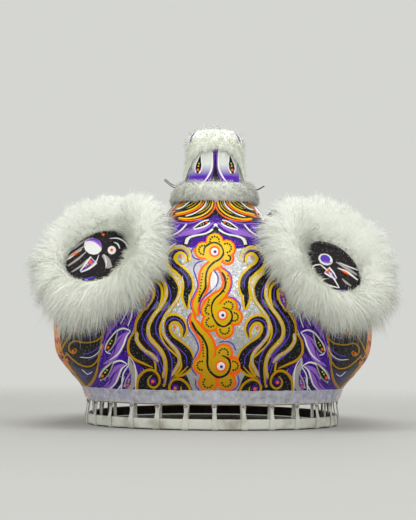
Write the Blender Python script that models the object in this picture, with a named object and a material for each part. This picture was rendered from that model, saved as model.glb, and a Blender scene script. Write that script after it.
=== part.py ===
"""Lion dance head, in metres, +Z up. The lion looks along +Y, so its back is towards -Y.

A papered bell-shaped shell stands on a wrapped hoop, which short ties hang from the shell's lower edge.
A horn with two fur trims stands on its neck, a furred ear swings on a pin at each shoulder, and the
lower jaw swings on two pins behind the mouth. The origin is the middle of the whole head, on the floor.
"""

import functools
import math

import bmesh
import bpy
import numpy as np
from mathutils import Matrix, Vector

# Driving sizes of the shell
SHELL_HALF_WIDTH = 0.314  # at the cheeks, the widest place
SHELL_BACK_LENGTH = 0.276  # from the widest place to the back
SHELL_FRONT_LENGTH = 0.345  # from the widest place to the muzzle
SHELL_WALL = 0.0025
SHELL_FOOT = 0.049  # height of the shell's lower edge
NECK_TOP = 0.462  # height where the horn stands
MUZZLE_SHIFT = -0.040  # the widest place lies behind the origin by this
SECTION_POWER = 2.2  # a plan section is a superellipse of this power

# Each row gives a level section: its height, half width, and back and front reach, as shares of the
# sizes above, and how far behind the origin's plane its widest place has moved, of the back reach
SHELL_SECTIONS = (
    # height  width  back   front  waist
    (0.000, 0.793, 0.850, 0.900, 0.000),
    (0.063, 0.826, 0.890, 0.955, 0.000),
    (0.121, 0.892, 0.938, 0.985, 0.000),
    (0.208, 0.978, 0.980, 1.000, 0.000),
    (0.300, 1.000, 1.000, 0.985, 0.000),
    (0.392, 0.990, 0.998, 0.935, 0.000),
    (0.475, 0.925, 0.968, 0.855, 0.000),
    (0.567, 0.800, 0.898, 0.735, 0.004),
    (0.663, 0.648, 0.796, 0.585, 0.020),
    (0.760, 0.475, 0.668, 0.425, 0.055),
    (0.833, 0.365, 0.556, 0.300, 0.090),
    (0.886, 0.296, 0.476, 0.210, 0.114),
    (0.954, 0.236, 0.402, 0.118, 0.136),
    (1.000, 0.210, 0.364, 0.060, 0.145),
)

# The mouth is an arch in the front of the shell's lower edge
LIP_HEIGHT = 0.140  # of the arch, at the middle of the front
MOUTH_CORNER_DEG = 122.0  # the angle from the back at which the arch starts
MOUTH_CROWN_DEG = 158.0  # where it reaches the lip's height

# The hoop, the cane inside the shell's edge and the ties between them
HOOP_HEIGHT = 0.0190
HOOP_PROUD = 0.0010  # how far the hoop stands outside the shell
HOOP_CORNER = 0.0025
TIE_THICKNESS = 0.0015
TIE_WIDTH = 0.0095
TIES_A_SIDE = 10
TIE_REACH_DEG = 116.75  # the last tie lies this far round the foot from the back
CANE_WIDTH = 0.0075
CANE_HEIGHT = 0.0100
CANE_DROP = 0.0030  # how far the cane shows below the shell's edge
NOTCH_WIDTH = 0.0125
NOTCH_HEIGHT = 0.0140
TAPE_WIDTH = 0.0255
TAPE_THICKNESS = 0.0010

# The horn on the neck
HORN_HEIGHT = 0.108
HORN_WALL = 0.0025
# Height, half width, half depth and forward lean, as shares of the horn's height and the neck's sizes
HORN_SECTIONS = (
    # height  width  depth  lean
    (0.00, 1.00, 1.00, 0.00),
    (0.14, 0.87, 0.90, 0.01),
    (0.32, 0.78, 0.80, 0.02),
    (0.55, 0.72, 0.72, 0.04),
    (0.76, 0.72, 0.68, 0.07),
    (0.88, 0.68, 0.61, 0.09),
    (0.94, 0.58, 0.51, 0.10),
    (0.98, 0.42, 0.36, 0.10),
    (1.00, 0.22, 0.18, 0.10),
)
HORN_CROWN = (0.76, 0.88, 0.94, 0.98, 1.00)  # shares of its height at which the horn's crown rounds over
COLLAR_LOW = 0.434
COLLAR_HIGH = 0.472
COLLAR_LOFT = 0.018
HOOD_LOFT = 0.013
HOOD_ARCH_LOW = 0.12  # the hood's legs end at this share of the horn's height
HOOD_ARCH_HIGH = 0.64  # and its arch, in the middle of the back, at this one
HOOD_FRONT = 0.72  # and its edge at the front, at this one
HOOD_LEG_DEG = 78.0  # the legs lie this far round the horn from the back

# The wire loops beside the horn
WIRE_RADIUS = 0.0009
WIRE_GAP = 0.0045
WIRE_LENGTH = 0.038
WIRE_RISE_DEG = 6.0
WIRE_SEAT = 0.4755  # height at which the wire leaves the horn

# The ears
EAR_HALF_LENGTH = 0.105
EAR_HALF_HEIGHT = 0.092
EAR_WALL = 0.0025
EAR_CUP = 0.016  # how deep the leaf is dished towards the front
EAR_MIDDLE = (0.216, -0.179, -0.138)  # of the right ear, from the shell's widest plane and the neck's top
EAR_YAW_DEG = 31.0
EAR_PITCH_DEG = 30.0
EAR_DROOP_DEG = 18.0
EAR_ROOT = (0.123, 0.050)  # hinge, from the ear's middle: inwards and up, in the plane of the ear
EAR_WINDOW = (0.062, 0.048)  # half length and half height of the bare part of its back
EAR_WINDOW_DROP = 0.010
EAR_FUR_LENGTH = 0.038
EAR_FUR_LOFT = 0.046
EAR_FUR_DEPTH = 0.020  # of the fur in front of the ear
EAR_FUR_HANG = 0.30  # the lowest locks are longer by this share
EAR_LOCKS = 13
EAR_POCKET_DEG = 9.0  # the fur passes only behind the pin within this of the root
PIN_RADIUS = 0.004
PIN_CLEARANCE = 0.0006
KNUCKLE_WALL = 0.0050
KNUCKLE_HEIGHT = 0.014
PIN_HEAD_RADIUS = 0.008
PIN_HEAD_HEIGHT = 0.003
ARM_THICKNESS = 0.006
ARM_WIDTH = 0.012

# The face, which the fitting of the shell carries
EYE_SPREAD = 0.100
EYE_DROP = 0.157  # the eyes lie this far below the neck's top
EYE_HEIGHT = NECK_TOP - EYE_DROP
EYE_RADIUS = 0.042
EYE_BULGE = 0.036
LID_WIDTH = 0.024
LID_BULGE = 0.030
NOSE_HALF_WIDTH = 0.062
NOSE_HALF_HEIGHT = 0.036
NOSE_HEIGHT = 0.214
NOSE_BULGE = 0.040
BROW_WIDTH = 0.036
BROW_LOFT = 0.020
LIP_FUR_WIDTH = 0.030
LIP_FUR_LOFT = 0.016

# The lower jaw
JAW_INSET = 0.030  # from the shell's foot to the jaw's outer face, at the sides
JAW_FRONT_INSET = 0.004
JAW_LOW = 0.042
JAW_SIDE_HEIGHT = 0.020
JAW_FRONT_HEIGHT = 0.048
JAW_WALL = 0.006
JAW_FLARE = 0.24  # the slant of its arms where the pins hold them
JAW_HINGE_Y = 0.085  # in front of the shell's widest plane
JAW_HINGE_Z = 0.078
JAW_FUR_LOFT = 0.014
JAW_FUR_REACH_DEG = 40.0

# Clearances
SEAT_GAP = 0.0004
LOOSE_GAP = 0.0006
FACE_GAP = 0.0011  # between a facet of one curved piece and a facet of another
BOSS_GAP = 0.0018  # below the fur that is stuck on the face of the shell
EYE_GAP = 0.0010  # below the eyes, their lids and their brows

# Fineness of the faceted solids
NECK_COLUMNS = 20
FRONT_COLUMNS = 16
SHELL_ROWS = (0.0, 0.10, 0.21, 0.34, 0.48, 0.61, 0.74, 0.86, 0.94, 1.0)  # above the tape

COLOURS = {
    "painted_paper": ((0.10, 0.06, 0.20, 1.0), 0.30, 0.0),
    "white_tape": ((0.80, 0.79, 0.74, 1.0), 0.70, 0.0),
    "clear_tape": ((0.72, 0.72, 0.80, 1.0), 0.25, 0.0),
    "cane": ((0.55, 0.42, 0.27, 1.0), 0.60, 0.0),
    "white_fur": ((0.86, 0.86, 0.82, 1.0), 0.90, 0.0),
    "steel_wire": ((0.25, 0.24, 0.24, 1.0), 0.35, 1.0),
    "eye_enamel": ((0.90, 0.90, 0.88, 1.0), 0.15, 0.0),
}


def clear_scene():
    for thing in list(bpy.data.objects):
        bpy.data.objects.remove(thing)


def material(name):
    """The Principled material of that name, made once."""
    found = bpy.data.materials.get(name)
    if found:
        return found
    colour, roughness, metallic = COLOURS[name]
    made = bpy.data.materials.new(name)
    made.use_nodes = True
    shader = made.node_tree.nodes["Principled BSDF"]
    shader.inputs["Base Color"].default_value = colour
    shader.inputs["Roughness"].default_value = roughness
    shader.inputs["Metallic"].default_value = metallic
    made.diffuse_color = colour
    return made


def add_object(name, corners, faces, finish):
    """A named object from corners and faces, with its faces turned outwards."""
    mesh = bpy.data.meshes.new(name)
    mesh.from_pydata([tuple(c) for c in corners], [], faces)
    shape = bmesh.new()
    shape.from_mesh(mesh)
    bmesh.ops.remove_doubles(shape, verts=shape.verts, dist=1e-6)
    bmesh.ops.triangulate(shape, faces=shape.faces, quad_method="SHORT_EDGE")
    bmesh.ops.recalc_face_normals(shape, faces=shape.faces)
    shape.to_mesh(mesh)
    shape.free()
    mesh.shade_smooth()
    mesh.set_sharp_from_angle(angle=math.radians(35))
    made = bpy.data.objects.new(name, mesh)
    made.data.materials.append(material(finish))
    bpy.context.scene.collection.objects.link(made)
    return made


def swept(name, sections, finish, loop=False):
    """A solid skinned over closed sections of equally many corners. loop joins the last to the first."""
    sections = np.asarray(sections, float)
    count, sides = sections.shape[:2]
    corners = sections.reshape(-1, 3)
    faces = []
    for i in range(count if loop else count - 1):
        here, after = i * sides, (i + 1) % count * sides
        for j in range(sides):
            k = (j + 1) % sides
            faces.append((here + j, here + k, after + k, after + j))
    if not loop:
        faces.append(tuple(range(sides)))
        faces.append(tuple(range((count - 1) * sides, count * sides)))
    return add_object(name, corners, faces, finish)


def turns_about(made, place):
    """Moves a finished object's origin to a place on the axis it turns about, and leaves its shape there."""
    made.data.transform(Matrix.Translation(-place))
    made.location = place


def walled(name, inner, outer, finish, loop=False, pole=False, solid_cells=None):
    """A wall between two grids of points. loop closes it round the columns, pole closes its last row to a
    point, and solid_cells, where given, is False at the cells that are cut through."""
    inner, outer = np.asarray(inner, float), np.asarray(outer, float)
    columns, rows = inner.shape[:2]
    spans = columns if loop else columns - 1
    kept = np.ones((spans, rows - 1), bool) if solid_cells is None else solid_cells
    corners = np.concatenate([inner.reshape(-1, 3), outer.reshape(-1, 3)])

    def corner(side, i, j):
        return side * columns * rows + (i % columns) * rows + j

    def is_kept(i, j):
        if loop:
            i %= spans
        return 0 <= i < spans and 0 <= j < rows - 1 and kept[i, j]

    faces = []
    for i in range(spans):
        for j in range(rows - 1):
            if not kept[i, j]:
                continue
            square = ((i, j), (i + 1, j), (i + 1, j + 1), (i, j + 1))
            faces.append([corner(0, *at) for at in square])
            faces.append([corner(1, *at) for at in reversed(square)])
            beside = ((i, j - 1), (i + 1, j), (i, j + 1), (i - 1, j))
            for side, cell in enumerate(beside):
                if is_kept(*cell) or (pole and cell[1] == rows - 1):
                    continue
                a, b = square[side], square[(side + 1) % 4]
                faces.append([corner(1, *a), corner(1, *b), corner(0, *b), corner(0, *a)])
    return add_object(name, corners, faces, finish)


def signed_power(value, power):
    return math.copysign(abs(value) ** power, value)


def smooth_table(table, at):
    """The row of a table at a value of its first column, on a smooth curve through its rows."""
    rows = np.asarray(table, float)
    steps = rows[:, 0]
    at = min(max(at, steps[0]), steps[-1])
    k = int(min(np.searchsorted(steps, at, side="right") - 1, len(steps) - 2))
    slopes = np.gradient(rows[:, 1:], steps, axis=0)
    span = steps[k + 1] - steps[k]
    t = (at - steps[k]) / span
    return (
        (1 + 2 * t) * (1 - t) ** 2 * rows[k, 1:]
        + t * (1 - t) ** 2 * span * slopes[k]
        + t * t * (3 - 2 * t) * rows[k + 1, 1:]
        + t * t * (t - 1) * span * slopes[k + 1]
    )


def shell_section(z):
    """Half width, back reach, front reach and the place along Y of the shell's section at a height."""
    share = (z - SHELL_FOOT) / (NECK_TOP - SHELL_FOOT)
    width, back, front, waist = smooth_table(SHELL_SECTIONS, share)
    waist *= SHELL_BACK_LENGTH
    return (
        width * SHELL_HALF_WIDTH,
        back * SHELL_BACK_LENGTH - waist,
        front * SHELL_FRONT_LENGTH + waist,
        MUZZLE_SHIFT - waist,
    )


def plan_point(section, angle):
    """A point of a plan section. The angle runs from the back through the lion's right side, at +X."""
    width, back, front, middle = section
    across = width * signed_power(math.sin(angle), 2 / SECTION_POWER)
    along = -signed_power(math.cos(angle), 2 / SECTION_POWER)
    return Vector((across, middle + along * (front if along > 0 else back), 0))


def shell_normal(angle, z):
    small_angle, small_height = 0.02, 0.004
    section = shell_section(z)
    round_it = plan_point(section, angle + small_angle) - plan_point(section, angle - small_angle)
    high, low = min(z + small_height, NECK_TOP), max(z - small_height, SHELL_FOOT)
    up_it = plan_point(shell_section(high), angle) - plan_point(shell_section(low), angle)
    up_it.z = high - low
    return round_it.cross(up_it).normalized()


def shell_point(angle, z, lift=0.0):
    """A point on the shell's true outer face, or lifted off it along its normal."""
    here = plan_point(shell_section(z), angle)
    here.z = z
    return here + shell_normal(angle, z) * lift


def shell_heights(angle):
    """Heights of the faceted shell's rows at this angle, from its lower edge to the neck."""
    low = edge_height(angle)
    band = low + TAPE_WIDTH
    return [low, low + NOTCH_HEIGHT] + [band + (NECK_TOP - band) * share for share in SHELL_ROWS]


def facet_point(angle, z, lift=0.0):
    """A point on the faceted shell's outer face, or lifted off it, for what sits close on it."""
    columns, _ = rim_columns()
    turn = 2 * math.pi
    place = columns[0] + (angle - columns[0]) % turn
    k = int(np.searchsorted(columns, place, side="right")) - 1
    left, right = columns[k], columns[(k + 1) % len(columns)] + (turn if k + 1 == len(columns) else 0)
    ends = []
    for column in (left, right):
        heights = shell_heights(column)
        row = min(max(int(np.searchsorted(heights, z, side="right")) - 1, 0), len(heights) - 2)
        low, high = heights[row], heights[row + 1]
        share = (z - low) / (high - low)
        ends.append(shell_point(column, low).lerp(shell_point(column, high), share))
    section = shell_section(z)
    sides = [plan_point(section, a) for a in (left, right)]
    chord = sides[1] - sides[0]
    share = (plan_point(section, place) - sides[0]).dot(chord) / chord.length_squared
    return ends[0].lerp(ends[1], share) + shell_normal(angle, z) * lift


def front_angle(sideways, z):
    """The angle at which the face lies this far sideways of its middle, measured along the shell."""
    section = shell_section(z)
    turns = np.linspace(math.pi, math.pi / 2, 60)
    places = [plan_point(section, turn) for turn in turns]
    steps = [(q - p).length for p, q in zip(places, places[1:])]
    lengths = np.concatenate([[0.0], np.cumsum(steps)])
    angle = float(np.interp(abs(sideways), lengths, turns))
    return math.copysign(angle, sideways) if sideways else math.pi


def edge_height(angle):
    """Height of the shell's lower edge: level at the back and sides, an arch over the mouth."""
    turn = abs(math.degrees(math.atan2(math.sin(angle), math.cos(angle))))
    t = min(max((turn - MOUTH_CORNER_DEG) / (MOUTH_CROWN_DEG - MOUTH_CORNER_DEG), 0.0), 1.0)
    return SHELL_FOOT + (LIP_HEIGHT - SHELL_FOOT) * t * t * (3 - 2 * t)


def foot_frame(angle):
    """The foot's point on the floor at this angle, and the outward and sideways directions there."""
    section = shell_section(SHELL_FOOT)
    ahead, behind = plan_point(section, angle + 0.01), plan_point(section, angle - 0.01)
    sideways = (ahead - behind).normalized()
    return plan_point(section, angle), Vector((sideways.y, -sideways.x, 0)), sideways


@functools.cache
def tie_angles():
    """Angles of the ties: one at the middle of the back and the rest at even steps round the foot."""
    section = shell_section(SHELL_FOOT)
    fine = np.radians(np.linspace(0.0, TIE_REACH_DEG, 2400))
    places = [plan_point(section, a) for a in fine]
    steps = [(q - p).length for p, q in zip(places, places[1:])]
    lengths = np.concatenate([[0.0], np.cumsum(steps)])
    step = lengths[-1] / TIES_A_SIDE
    half = [float(np.interp(k * step, lengths, fine)) for k in range(1, TIES_A_SIDE + 1)]
    return [-a for a in reversed(half)] + [0.0] + half


def notch_half_angle(angle):
    """Half of a notch's width as an angle, at this place of the foot."""
    section = shell_section(SHELL_FOOT)
    step = (plan_point(section, angle + 0.005) - plan_point(section, angle - 0.005)).length / 0.01
    return NOTCH_WIDTH / 2 / step


@functools.cache
def rim_columns():
    """Angles of the columns that the shell and all that follows its foot share, and which spans between
    them are notches for the ties. The last span closes the ring across the mouth's last column."""
    angles, notches = [], []
    for tie in tie_angles():
        half = notch_half_angle(tie)
        angles += [tie - half, tie + half]
        notches += [True, False]
    front = 2 * math.pi + angles[0] - angles[-1]
    for k in range(1, FRONT_COLUMNS):
        angles.append(2 * math.pi + angles[0] - front * (1 - k / FRONT_COLUMNS))
        notches.append(False)
    return angles, notches


def tied_columns():
    """The columns from the first notch to the last one."""
    angles, _ = rim_columns()
    return angles[: 2 * len(tie_angles())]


def make_shell():
    """The papered shell: one wall with notches for the ties, a mouth arch and an open neck."""
    angles, notches = rim_columns()
    inner, outer = [], []
    for angle in angles:
        heights = shell_heights(angle)
        outer.append([shell_point(angle, z) for z in heights])
        inner.append([shell_point(angle, z, -SHELL_WALL) for z in heights])
        for place, z in zip(inner[-1], heights):
            place.z = z
    kept = np.ones((len(angles), len(SHELL_ROWS) + 1), bool)
    kept[:, 0] = [not notch for notch in notches]
    return walled("shell", inner, outer, "painted_paper", loop=True, solid_cells=kept)


def make_edge_tape():
    """Clear tape round the shell's lower edge, from one mouth corner to the other."""
    heights = (SHELL_FOOT, SHELL_FOOT + TAPE_WIDTH)
    inner, outer = [], []
    for angle in tied_columns():
        inner.append([shell_point(angle, z, LOOSE_GAP) for z in heights])
        outer.append([shell_point(angle, z, LOOSE_GAP + TAPE_THICKNESS) for z in heights])
    return walled("edge_tape", inner, outer, "clear_tape")


def cane_faces():
    """How far the cane's outer and inner faces lie outside the shell's outer face."""
    outer = -SHELL_WALL - LOOSE_GAP
    return outer, outer - CANE_WIDTH


def hoop_faces():
    """The same for the hoop, which reaches in as far as the cane."""
    return HOOP_PROUD, cane_faces()[1]


def hoop_heights():
    low = TIE_THICKNESS + SEAT_GAP
    return low, low + HOOP_HEIGHT


def cane_heights():
    low = SHELL_FOOT - CANE_DROP
    return low, low + CANE_HEIGHT


def radial_point(angle, out, z):
    foot, outwards, _ = foot_frame(angle)
    return foot + outwards * out + Vector((0, 0, z))


def make_hoop():
    """The wrapped hoop under the shell: one ring of a flat section with eased corners."""
    outer, inner = hoop_faces()
    low, high = hoop_heights()
    ease = HOOP_CORNER
    profile = (
        (outer, low),
        (outer, high - ease),
        (outer - ease, high),
        (inner + ease, high),
        (inner, high - ease),
        (inner, low),
    )
    angles, _ = rim_columns()
    sections = [[radial_point(a, out, z) for out, z in profile] for a in angles]
    return swept("rim_hoop", sections, "white_tape", loop=True)


def make_cane():
    """The bamboo cane that stiffens the shell's lower edge from the inside."""
    outer, inner = cane_faces()
    low, high = cane_heights()
    profile = ((outer, low), (outer, high), (inner, high), (inner, low))
    sections = [[radial_point(a, out, z) for out, z in profile] for a in tied_columns()]
    return swept("edge_cane", sections, "cane")


def make_tie(name, angle):
    """A strip of cloth tape looped round the hoop and, through its notch, over the cane."""
    hoop_out, hoop_in = hoop_faces()
    cane_out, cane_in = cane_faces()
    hoop_low, hoop_high = hoop_heights()
    _, cane_high = cane_heights()
    gap, thick = SEAT_GAP, TIE_THICKNESS
    inside = (
        (hoop_out + gap, hoop_low - gap),
        (hoop_out + gap, hoop_high),
        (cane_out + gap, cane_high + gap),
        (cane_in - gap, cane_high + gap),
        (hoop_in - gap, hoop_high),
        (hoop_in - gap, hoop_low - gap),
    )
    outside = (
        (inside[0][0] + thick, inside[0][1] - thick),
        (inside[1][0] + thick, inside[1][1]),
        (inside[2][0] + thick, inside[2][1] + thick),
        (inside[3][0] - thick, inside[3][1] + thick),
        (inside[4][0] - thick, inside[4][1]),
        (inside[5][0] - thick, inside[5][1] - thick),
    )
    foot, outwards, sideways = foot_frame(angle)
    sections = []
    for near, far in zip(inside, outside):
        section = []
        for (out, z), side in ((near, -1), (near, 1), (far, 1), (far, -1)):
            place = foot + outwards * out + sideways * (side * TIE_WIDTH / 2)
            section.append(place + Vector((0, 0, z)))
        sections.append(section)
    return swept(name, sections, "white_tape", loop=True)


def horn_point(angle, share, lift=0.0):
    """A point on the horn's outer face at a share of its height, or beside it by the lift."""
    neck_width, neck_back, neck_front, middle = shell_section(NECK_TOP)
    width, depth, lean = smooth_table(HORN_SECTIONS, share)
    section = (
        neck_width * width + lift,
        neck_back * depth + lift,
        neck_front * depth + lift,
        middle + lean * HORN_HEIGHT,
    )
    place = plan_point(section, angle)
    place.z = NECK_TOP + SEAT_GAP + share * HORN_HEIGHT
    return place


def horn_tip(lift=0.0):
    lean = HORN_SECTIONS[-1][3] * HORN_HEIGHT
    return Vector((0, shell_section(NECK_TOP)[3] + lean, NECK_TOP + SEAT_GAP + HORN_HEIGHT + lift))


def horn_angles():
    return [2 * math.pi * (k + 0.5) / NECK_COLUMNS for k in range(NECK_COLUMNS)]


def make_horn():
    """The hollow horn: open below, where it stands on the neck, and closed at its tip."""
    shares = (0.0, 0.14, 0.32, 0.55, *HORN_CROWN)
    outer, inner = [], []
    for angle in horn_angles():
        outer.append([horn_point(angle, share) for share in shares] + [horn_tip(HORN_WALL)])
        inner.append([horn_point(angle, share, -HORN_WALL) for share in shares] + [horn_tip(-HORN_WALL)])
        for place in inner[-1][1:-1]:
            place.z -= HORN_WALL * (place.z - NECK_TOP) / HORN_HEIGHT
    return walled("horn", inner, outer, "painted_paper", loop=True, pole=True)


def neck_point(angle, z, lift):
    """A point off the neck below the horn's seat, or off the horn above it, at this height."""
    if z > NECK_TOP + SEAT_GAP:
        place = horn_point(angle, (z - NECK_TOP - SEAT_GAP) / HORN_HEIGHT, lift)
    else:
        place = facet_point(angle, z, lift + FACE_GAP / 2)
    place.z = z
    return place


def make_collar():
    """The fur collar round the foot of the horn, in locks."""
    sections = []
    rows = (
        # share of the collar's height, share of its loft
        (1.00, 0.25),
        (0.72, 0.85),
        (0.40, 1.00),
        (0.12, 0.78),
        (0.00, 0.30),
    )
    for k, angle in enumerate(horn_angles()):
        lock = 1.12 if k % 2 else 0.90
        section = []
        for height, loft in rows:
            z = COLLAR_LOW + (COLLAR_HIGH - COLLAR_LOW) * height
            section.append(neck_point(angle, z, FACE_GAP + COLLAR_LOFT * loft * lock))
        for z in (COLLAR_LOW, (COLLAR_LOW + NECK_TOP) / 2, NECK_TOP, COLLAR_HIGH):
            section.append(neck_point(angle, z, FACE_GAP))
        sections.append(section)
    return swept("horn_collar", sections, "white_fur", loop=True)


def hood_edge(angle):
    """The share of the horn's height at which the hood's lower edge lies."""
    turn = abs(math.degrees(math.atan2(math.sin(angle), math.cos(angle))))
    if turn < HOOD_LEG_DEG:
        side = turn / HOOD_LEG_DEG
        return HOOD_ARCH_HIGH + (HOOD_ARCH_LOW - HOOD_ARCH_HIGH) * side**2
    side = (turn - HOOD_LEG_DEG) / (180 - HOOD_LEG_DEG)
    return HOOD_ARCH_LOW + (HOOD_FRONT - HOOD_ARCH_LOW) * min(side * 1.6, 1.0)


def make_hood():
    """The fur hood over the horn: a cap with an arch cut out of its back and a leg at each side."""
    under, over = [], []
    for k, angle in enumerate(horn_angles()):
        loft = HOOD_LOFT * (1.15 if k % 2 else 0.85)
        low = hood_edge(angle)
        shares = (low, (low + HORN_CROWN[0]) / 2, *HORN_CROWN)
        fullness = (0.45, 1.0, 1.0, 1.0, 0.95, 0.85, 0.75)
        under.append([horn_point(angle, share, FACE_GAP) for share in shares])
        over.append([horn_point(angle, s, FACE_GAP + loft * f) for s, f in zip(shares, fullness)])
        for inside, outside, share in zip(under[-1], over[-1], shares):
            rise = max(share - HORN_CROWN[1], 0.0) / (1 - HORN_CROWN[1])
            inside.z += (HORN_WALL + FACE_GAP) * rise
            outside.z += (HORN_WALL + FACE_GAP + HOOD_LOFT) * rise
        under[-1].append(horn_tip(HORN_WALL + FACE_GAP))
        over[-1].append(horn_tip(HORN_WALL + FACE_GAP + HOOD_LOFT))
    return walled("horn_hood", under, over, "white_fur", loop=True, pole=True)


def make_wire(name, side):
    """A hairpin of wire that stands out from the side of the horn, above the collar."""
    share = (WIRE_SEAT - NECK_TOP - SEAT_GAP) / HORN_HEIGHT
    start = horn_point(side * math.pi / 2, share, SEAT_GAP)
    rise = math.radians(WIRE_RISE_DEG)
    out = Vector((side * math.cos(rise), 0, math.sin(rise)))
    across = Vector((0, 1, 0))
    half = WIRE_GAP / 2
    turns = [math.pi * k / 6 for k in range(7)]
    route = [start - across * half, start + out * (WIRE_LENGTH / 2) - across * half]
    for turn in turns:
        bend = out * math.sin(turn) - across * math.cos(turn)
        route.append(start + out * WIRE_LENGTH + bend * half)
    route += [start + out * (WIRE_LENGTH / 2) + across * half, start + across * half]
    sections = []
    for k, place in enumerate(route):
        ahead = (route[min(k + 1, len(route) - 1)] - route[max(k - 1, 0)]).normalized()
        up = out.cross(across)
        level = ahead.cross(up).normalized()
        ring = []
        for j in range(6):
            turn = 2 * math.pi * j / 6
            ring.append(place + (up * math.sin(turn) + level * math.cos(turn)) * WIRE_RADIUS)
        sections.append(ring)
    return swept(name, sections, "steel_wire")


def ear_frame(side):
    """The ear's own frame as a matrix: X inwards to the horn, Y up in its plane, Z out of its back."""
    yaw, pitch = math.radians(EAR_YAW_DEG), math.radians(EAR_PITCH_DEG)
    droop = math.radians(EAR_DROOP_DEG)
    out = Vector(
        (side * math.sin(yaw) * math.cos(pitch), -math.cos(yaw) * math.cos(pitch), math.sin(pitch))
    )
    level = Vector((-side * math.cos(yaw), -math.sin(yaw), 0))
    rise = (Vector((0, 0, 1)) - out * out.z).normalized()
    inwards = level * math.cos(droop) + rise * math.sin(droop)
    up = rise * math.cos(droop) - level * math.sin(droop)
    frame = Matrix((inwards, up, out)).transposed().to_4x4()
    across, along, up = EAR_MIDDLE
    frame.translation = (side * across, MUZZLE_SHIFT + along, NECK_TOP + up)
    return frame


def leaf_radius(turn):
    """The leaf's outline: an oval that narrows a little towards its outer end."""
    across, up = math.cos(turn) / EAR_HALF_LENGTH, math.sin(turn) / EAR_HALF_HEIGHT
    taper = 1.0 - 0.06 * max(-math.cos(turn), 0.0) * abs(math.sin(turn))
    return taper / math.hypot(across, up)


def leaf_dish(share):
    """How far the leaf's back stands out at a share of its radius: a shallow dome."""
    return EAR_CUP * (1 - share * share)


def ear_root():
    return Vector((EAR_ROOT[0], EAR_ROOT[1], 0))


def join_all(target, others):
    """Fuses the others into the target with Boolean unions, and removes them."""
    for other in others:
        join = target.modifiers.new(other.name, "BOOLEAN")
        join.operation = "UNION"
        join.solver = "EXACT"
        join.object = other
        other.hide_render = True
        other.display_type = "WIRE"


def cut_all(target, cutters):
    for cutter in cutters:
        cut = target.modifiers.new(cutter.name, "BOOLEAN")
        cut.operation = "DIFFERENCE"
        cut.solver = "EXACT"
        cut.object = cutter
        cutter.hide_render = True
        cutter.display_type = "WIRE"


def turned(name, profile, frame, finish, sides=12):
    """A solid turned round the frame's Z axis from a profile of (radius, height), closed by the axis."""
    sections = []
    for radius, height in profile:
        ring = []
        for k in range(sides):
            turn = 2 * math.pi * k / sides
            place = Vector((radius * math.cos(turn), radius * math.sin(turn), height))
            ring.append(frame @ place)
        sections.append(ring)
    return swept(name, sections, finish)


def boxed(name, frame, low, high, finish):
    """A box in a frame, from its lowest to its highest corner."""
    ends = []
    for x in (low[0], high[0]):
        square = ((low[1], low[2]), (high[1], low[2]), (high[1], high[2]), (low[1], high[2]))
        ends.append([frame @ Vector((x, y, z)) for y, z in square])
    return swept(name, ends, finish)


def make_ear(name, side):
    """The papered leaf of an ear, with an arm to its knuckle round the pin."""
    frame = ear_frame(side)
    turns = [2 * math.pi * k / 24 for k in range(24)]
    shares = (1.0, 0.84, 0.60, 0.30)
    back, front = [], []
    for turn in turns:
        radius = leaf_radius(turn)
        flat = Vector((math.cos(turn), math.sin(turn), 0)) * radius
        back.append([frame @ (flat * s + Vector((0, 0, leaf_dish(s)))) for s in shares])
        front.append([frame @ (flat * s + Vector((0, 0, leaf_dish(s) - EAR_WALL))) for s in shares])
        back[-1].append(frame @ Vector((0, 0, leaf_dish(0))))
        front[-1].append(frame @ Vector((0, 0, leaf_dish(0) - EAR_WALL)))
    leaf = walled(name, front, back, "painted_paper", loop=True, pole=True)
    root = ear_root()
    knuckle_frame = frame @ Matrix.Translation(root)
    knuckle_radius = PIN_RADIUS + PIN_CLEARANCE + KNUCKLE_WALL
    half = KNUCKLE_HEIGHT / 2
    knuckle = turned(
        name + "_knuckle",
        ((knuckle_radius, -half), (knuckle_radius, half)),
        knuckle_frame,
        "painted_paper",
    )
    heading = math.atan2(root.y, root.x)
    arm_frame = frame @ Matrix.Rotation(heading, 4, "Z")
    inner_end = leaf_radius(heading) * 0.90
    arm = boxed(
        name + "_arm",
        arm_frame,
        (inner_end, -ARM_WIDTH / 2, -ARM_THICKNESS / 2),
        (root.length, ARM_WIDTH / 2, ARM_THICKNESS / 2),
        "painted_paper",
    )
    bore_radius = PIN_RADIUS + PIN_CLEARANCE
    bore = turned(
        name + "_bore",
        ((bore_radius, -KNUCKLE_HEIGHT), (bore_radius, KNUCKLE_HEIGHT)),
        knuckle_frame,
        "painted_paper",
    )
    turns_about(leaf, frame @ root)
    join_all(leaf, [arm, knuckle])
    cut_all(leaf, [bore])


def outside_shell(place):
    """True if a point lies outside the shell's outer face."""
    width, back, front, middle = shell_section(place.z)
    along = place.y - middle
    reach = front if along > 0 else back
    across = (abs(place.x) / width) ** SECTION_POWER
    return across + (abs(along) / reach) ** SECTION_POWER > 1


def rim_of_pin(height):
    """Points round a pin's widest end, at a height along its axis in the pin's own frame."""
    turns = [2 * math.pi * k / 16 for k in range(16)]
    return [Vector((PIN_HEAD_RADIUS * math.cos(t), PIN_HEAD_RADIUS * math.sin(t), height)) for t in turns]


def make_ear_pin(name, side):
    """The plain pin that carries an ear: a post on the shell, the ear's bearing and a head."""
    frame = ear_frame(side) @ Matrix.Translation(ear_root())
    half = KNUCKLE_HEIGHT / 2
    start = -half
    while all(outside_shell(frame @ place) for place in rim_of_pin(start - 0.0002)):
        start -= 0.0002
    shoulder = -half - LOOSE_GAP
    head = half + LOOSE_GAP
    profile = (
        (PIN_HEAD_RADIUS, start),
        (PIN_HEAD_RADIUS, shoulder),
        (PIN_RADIUS, shoulder),
        (PIN_RADIUS, head),
        (PIN_HEAD_RADIUS, head),
        (PIN_HEAD_RADIUS, head + PIN_HEAD_HEIGHT),
    )
    return turned(name, profile, frame, "steel_wire")


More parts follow.
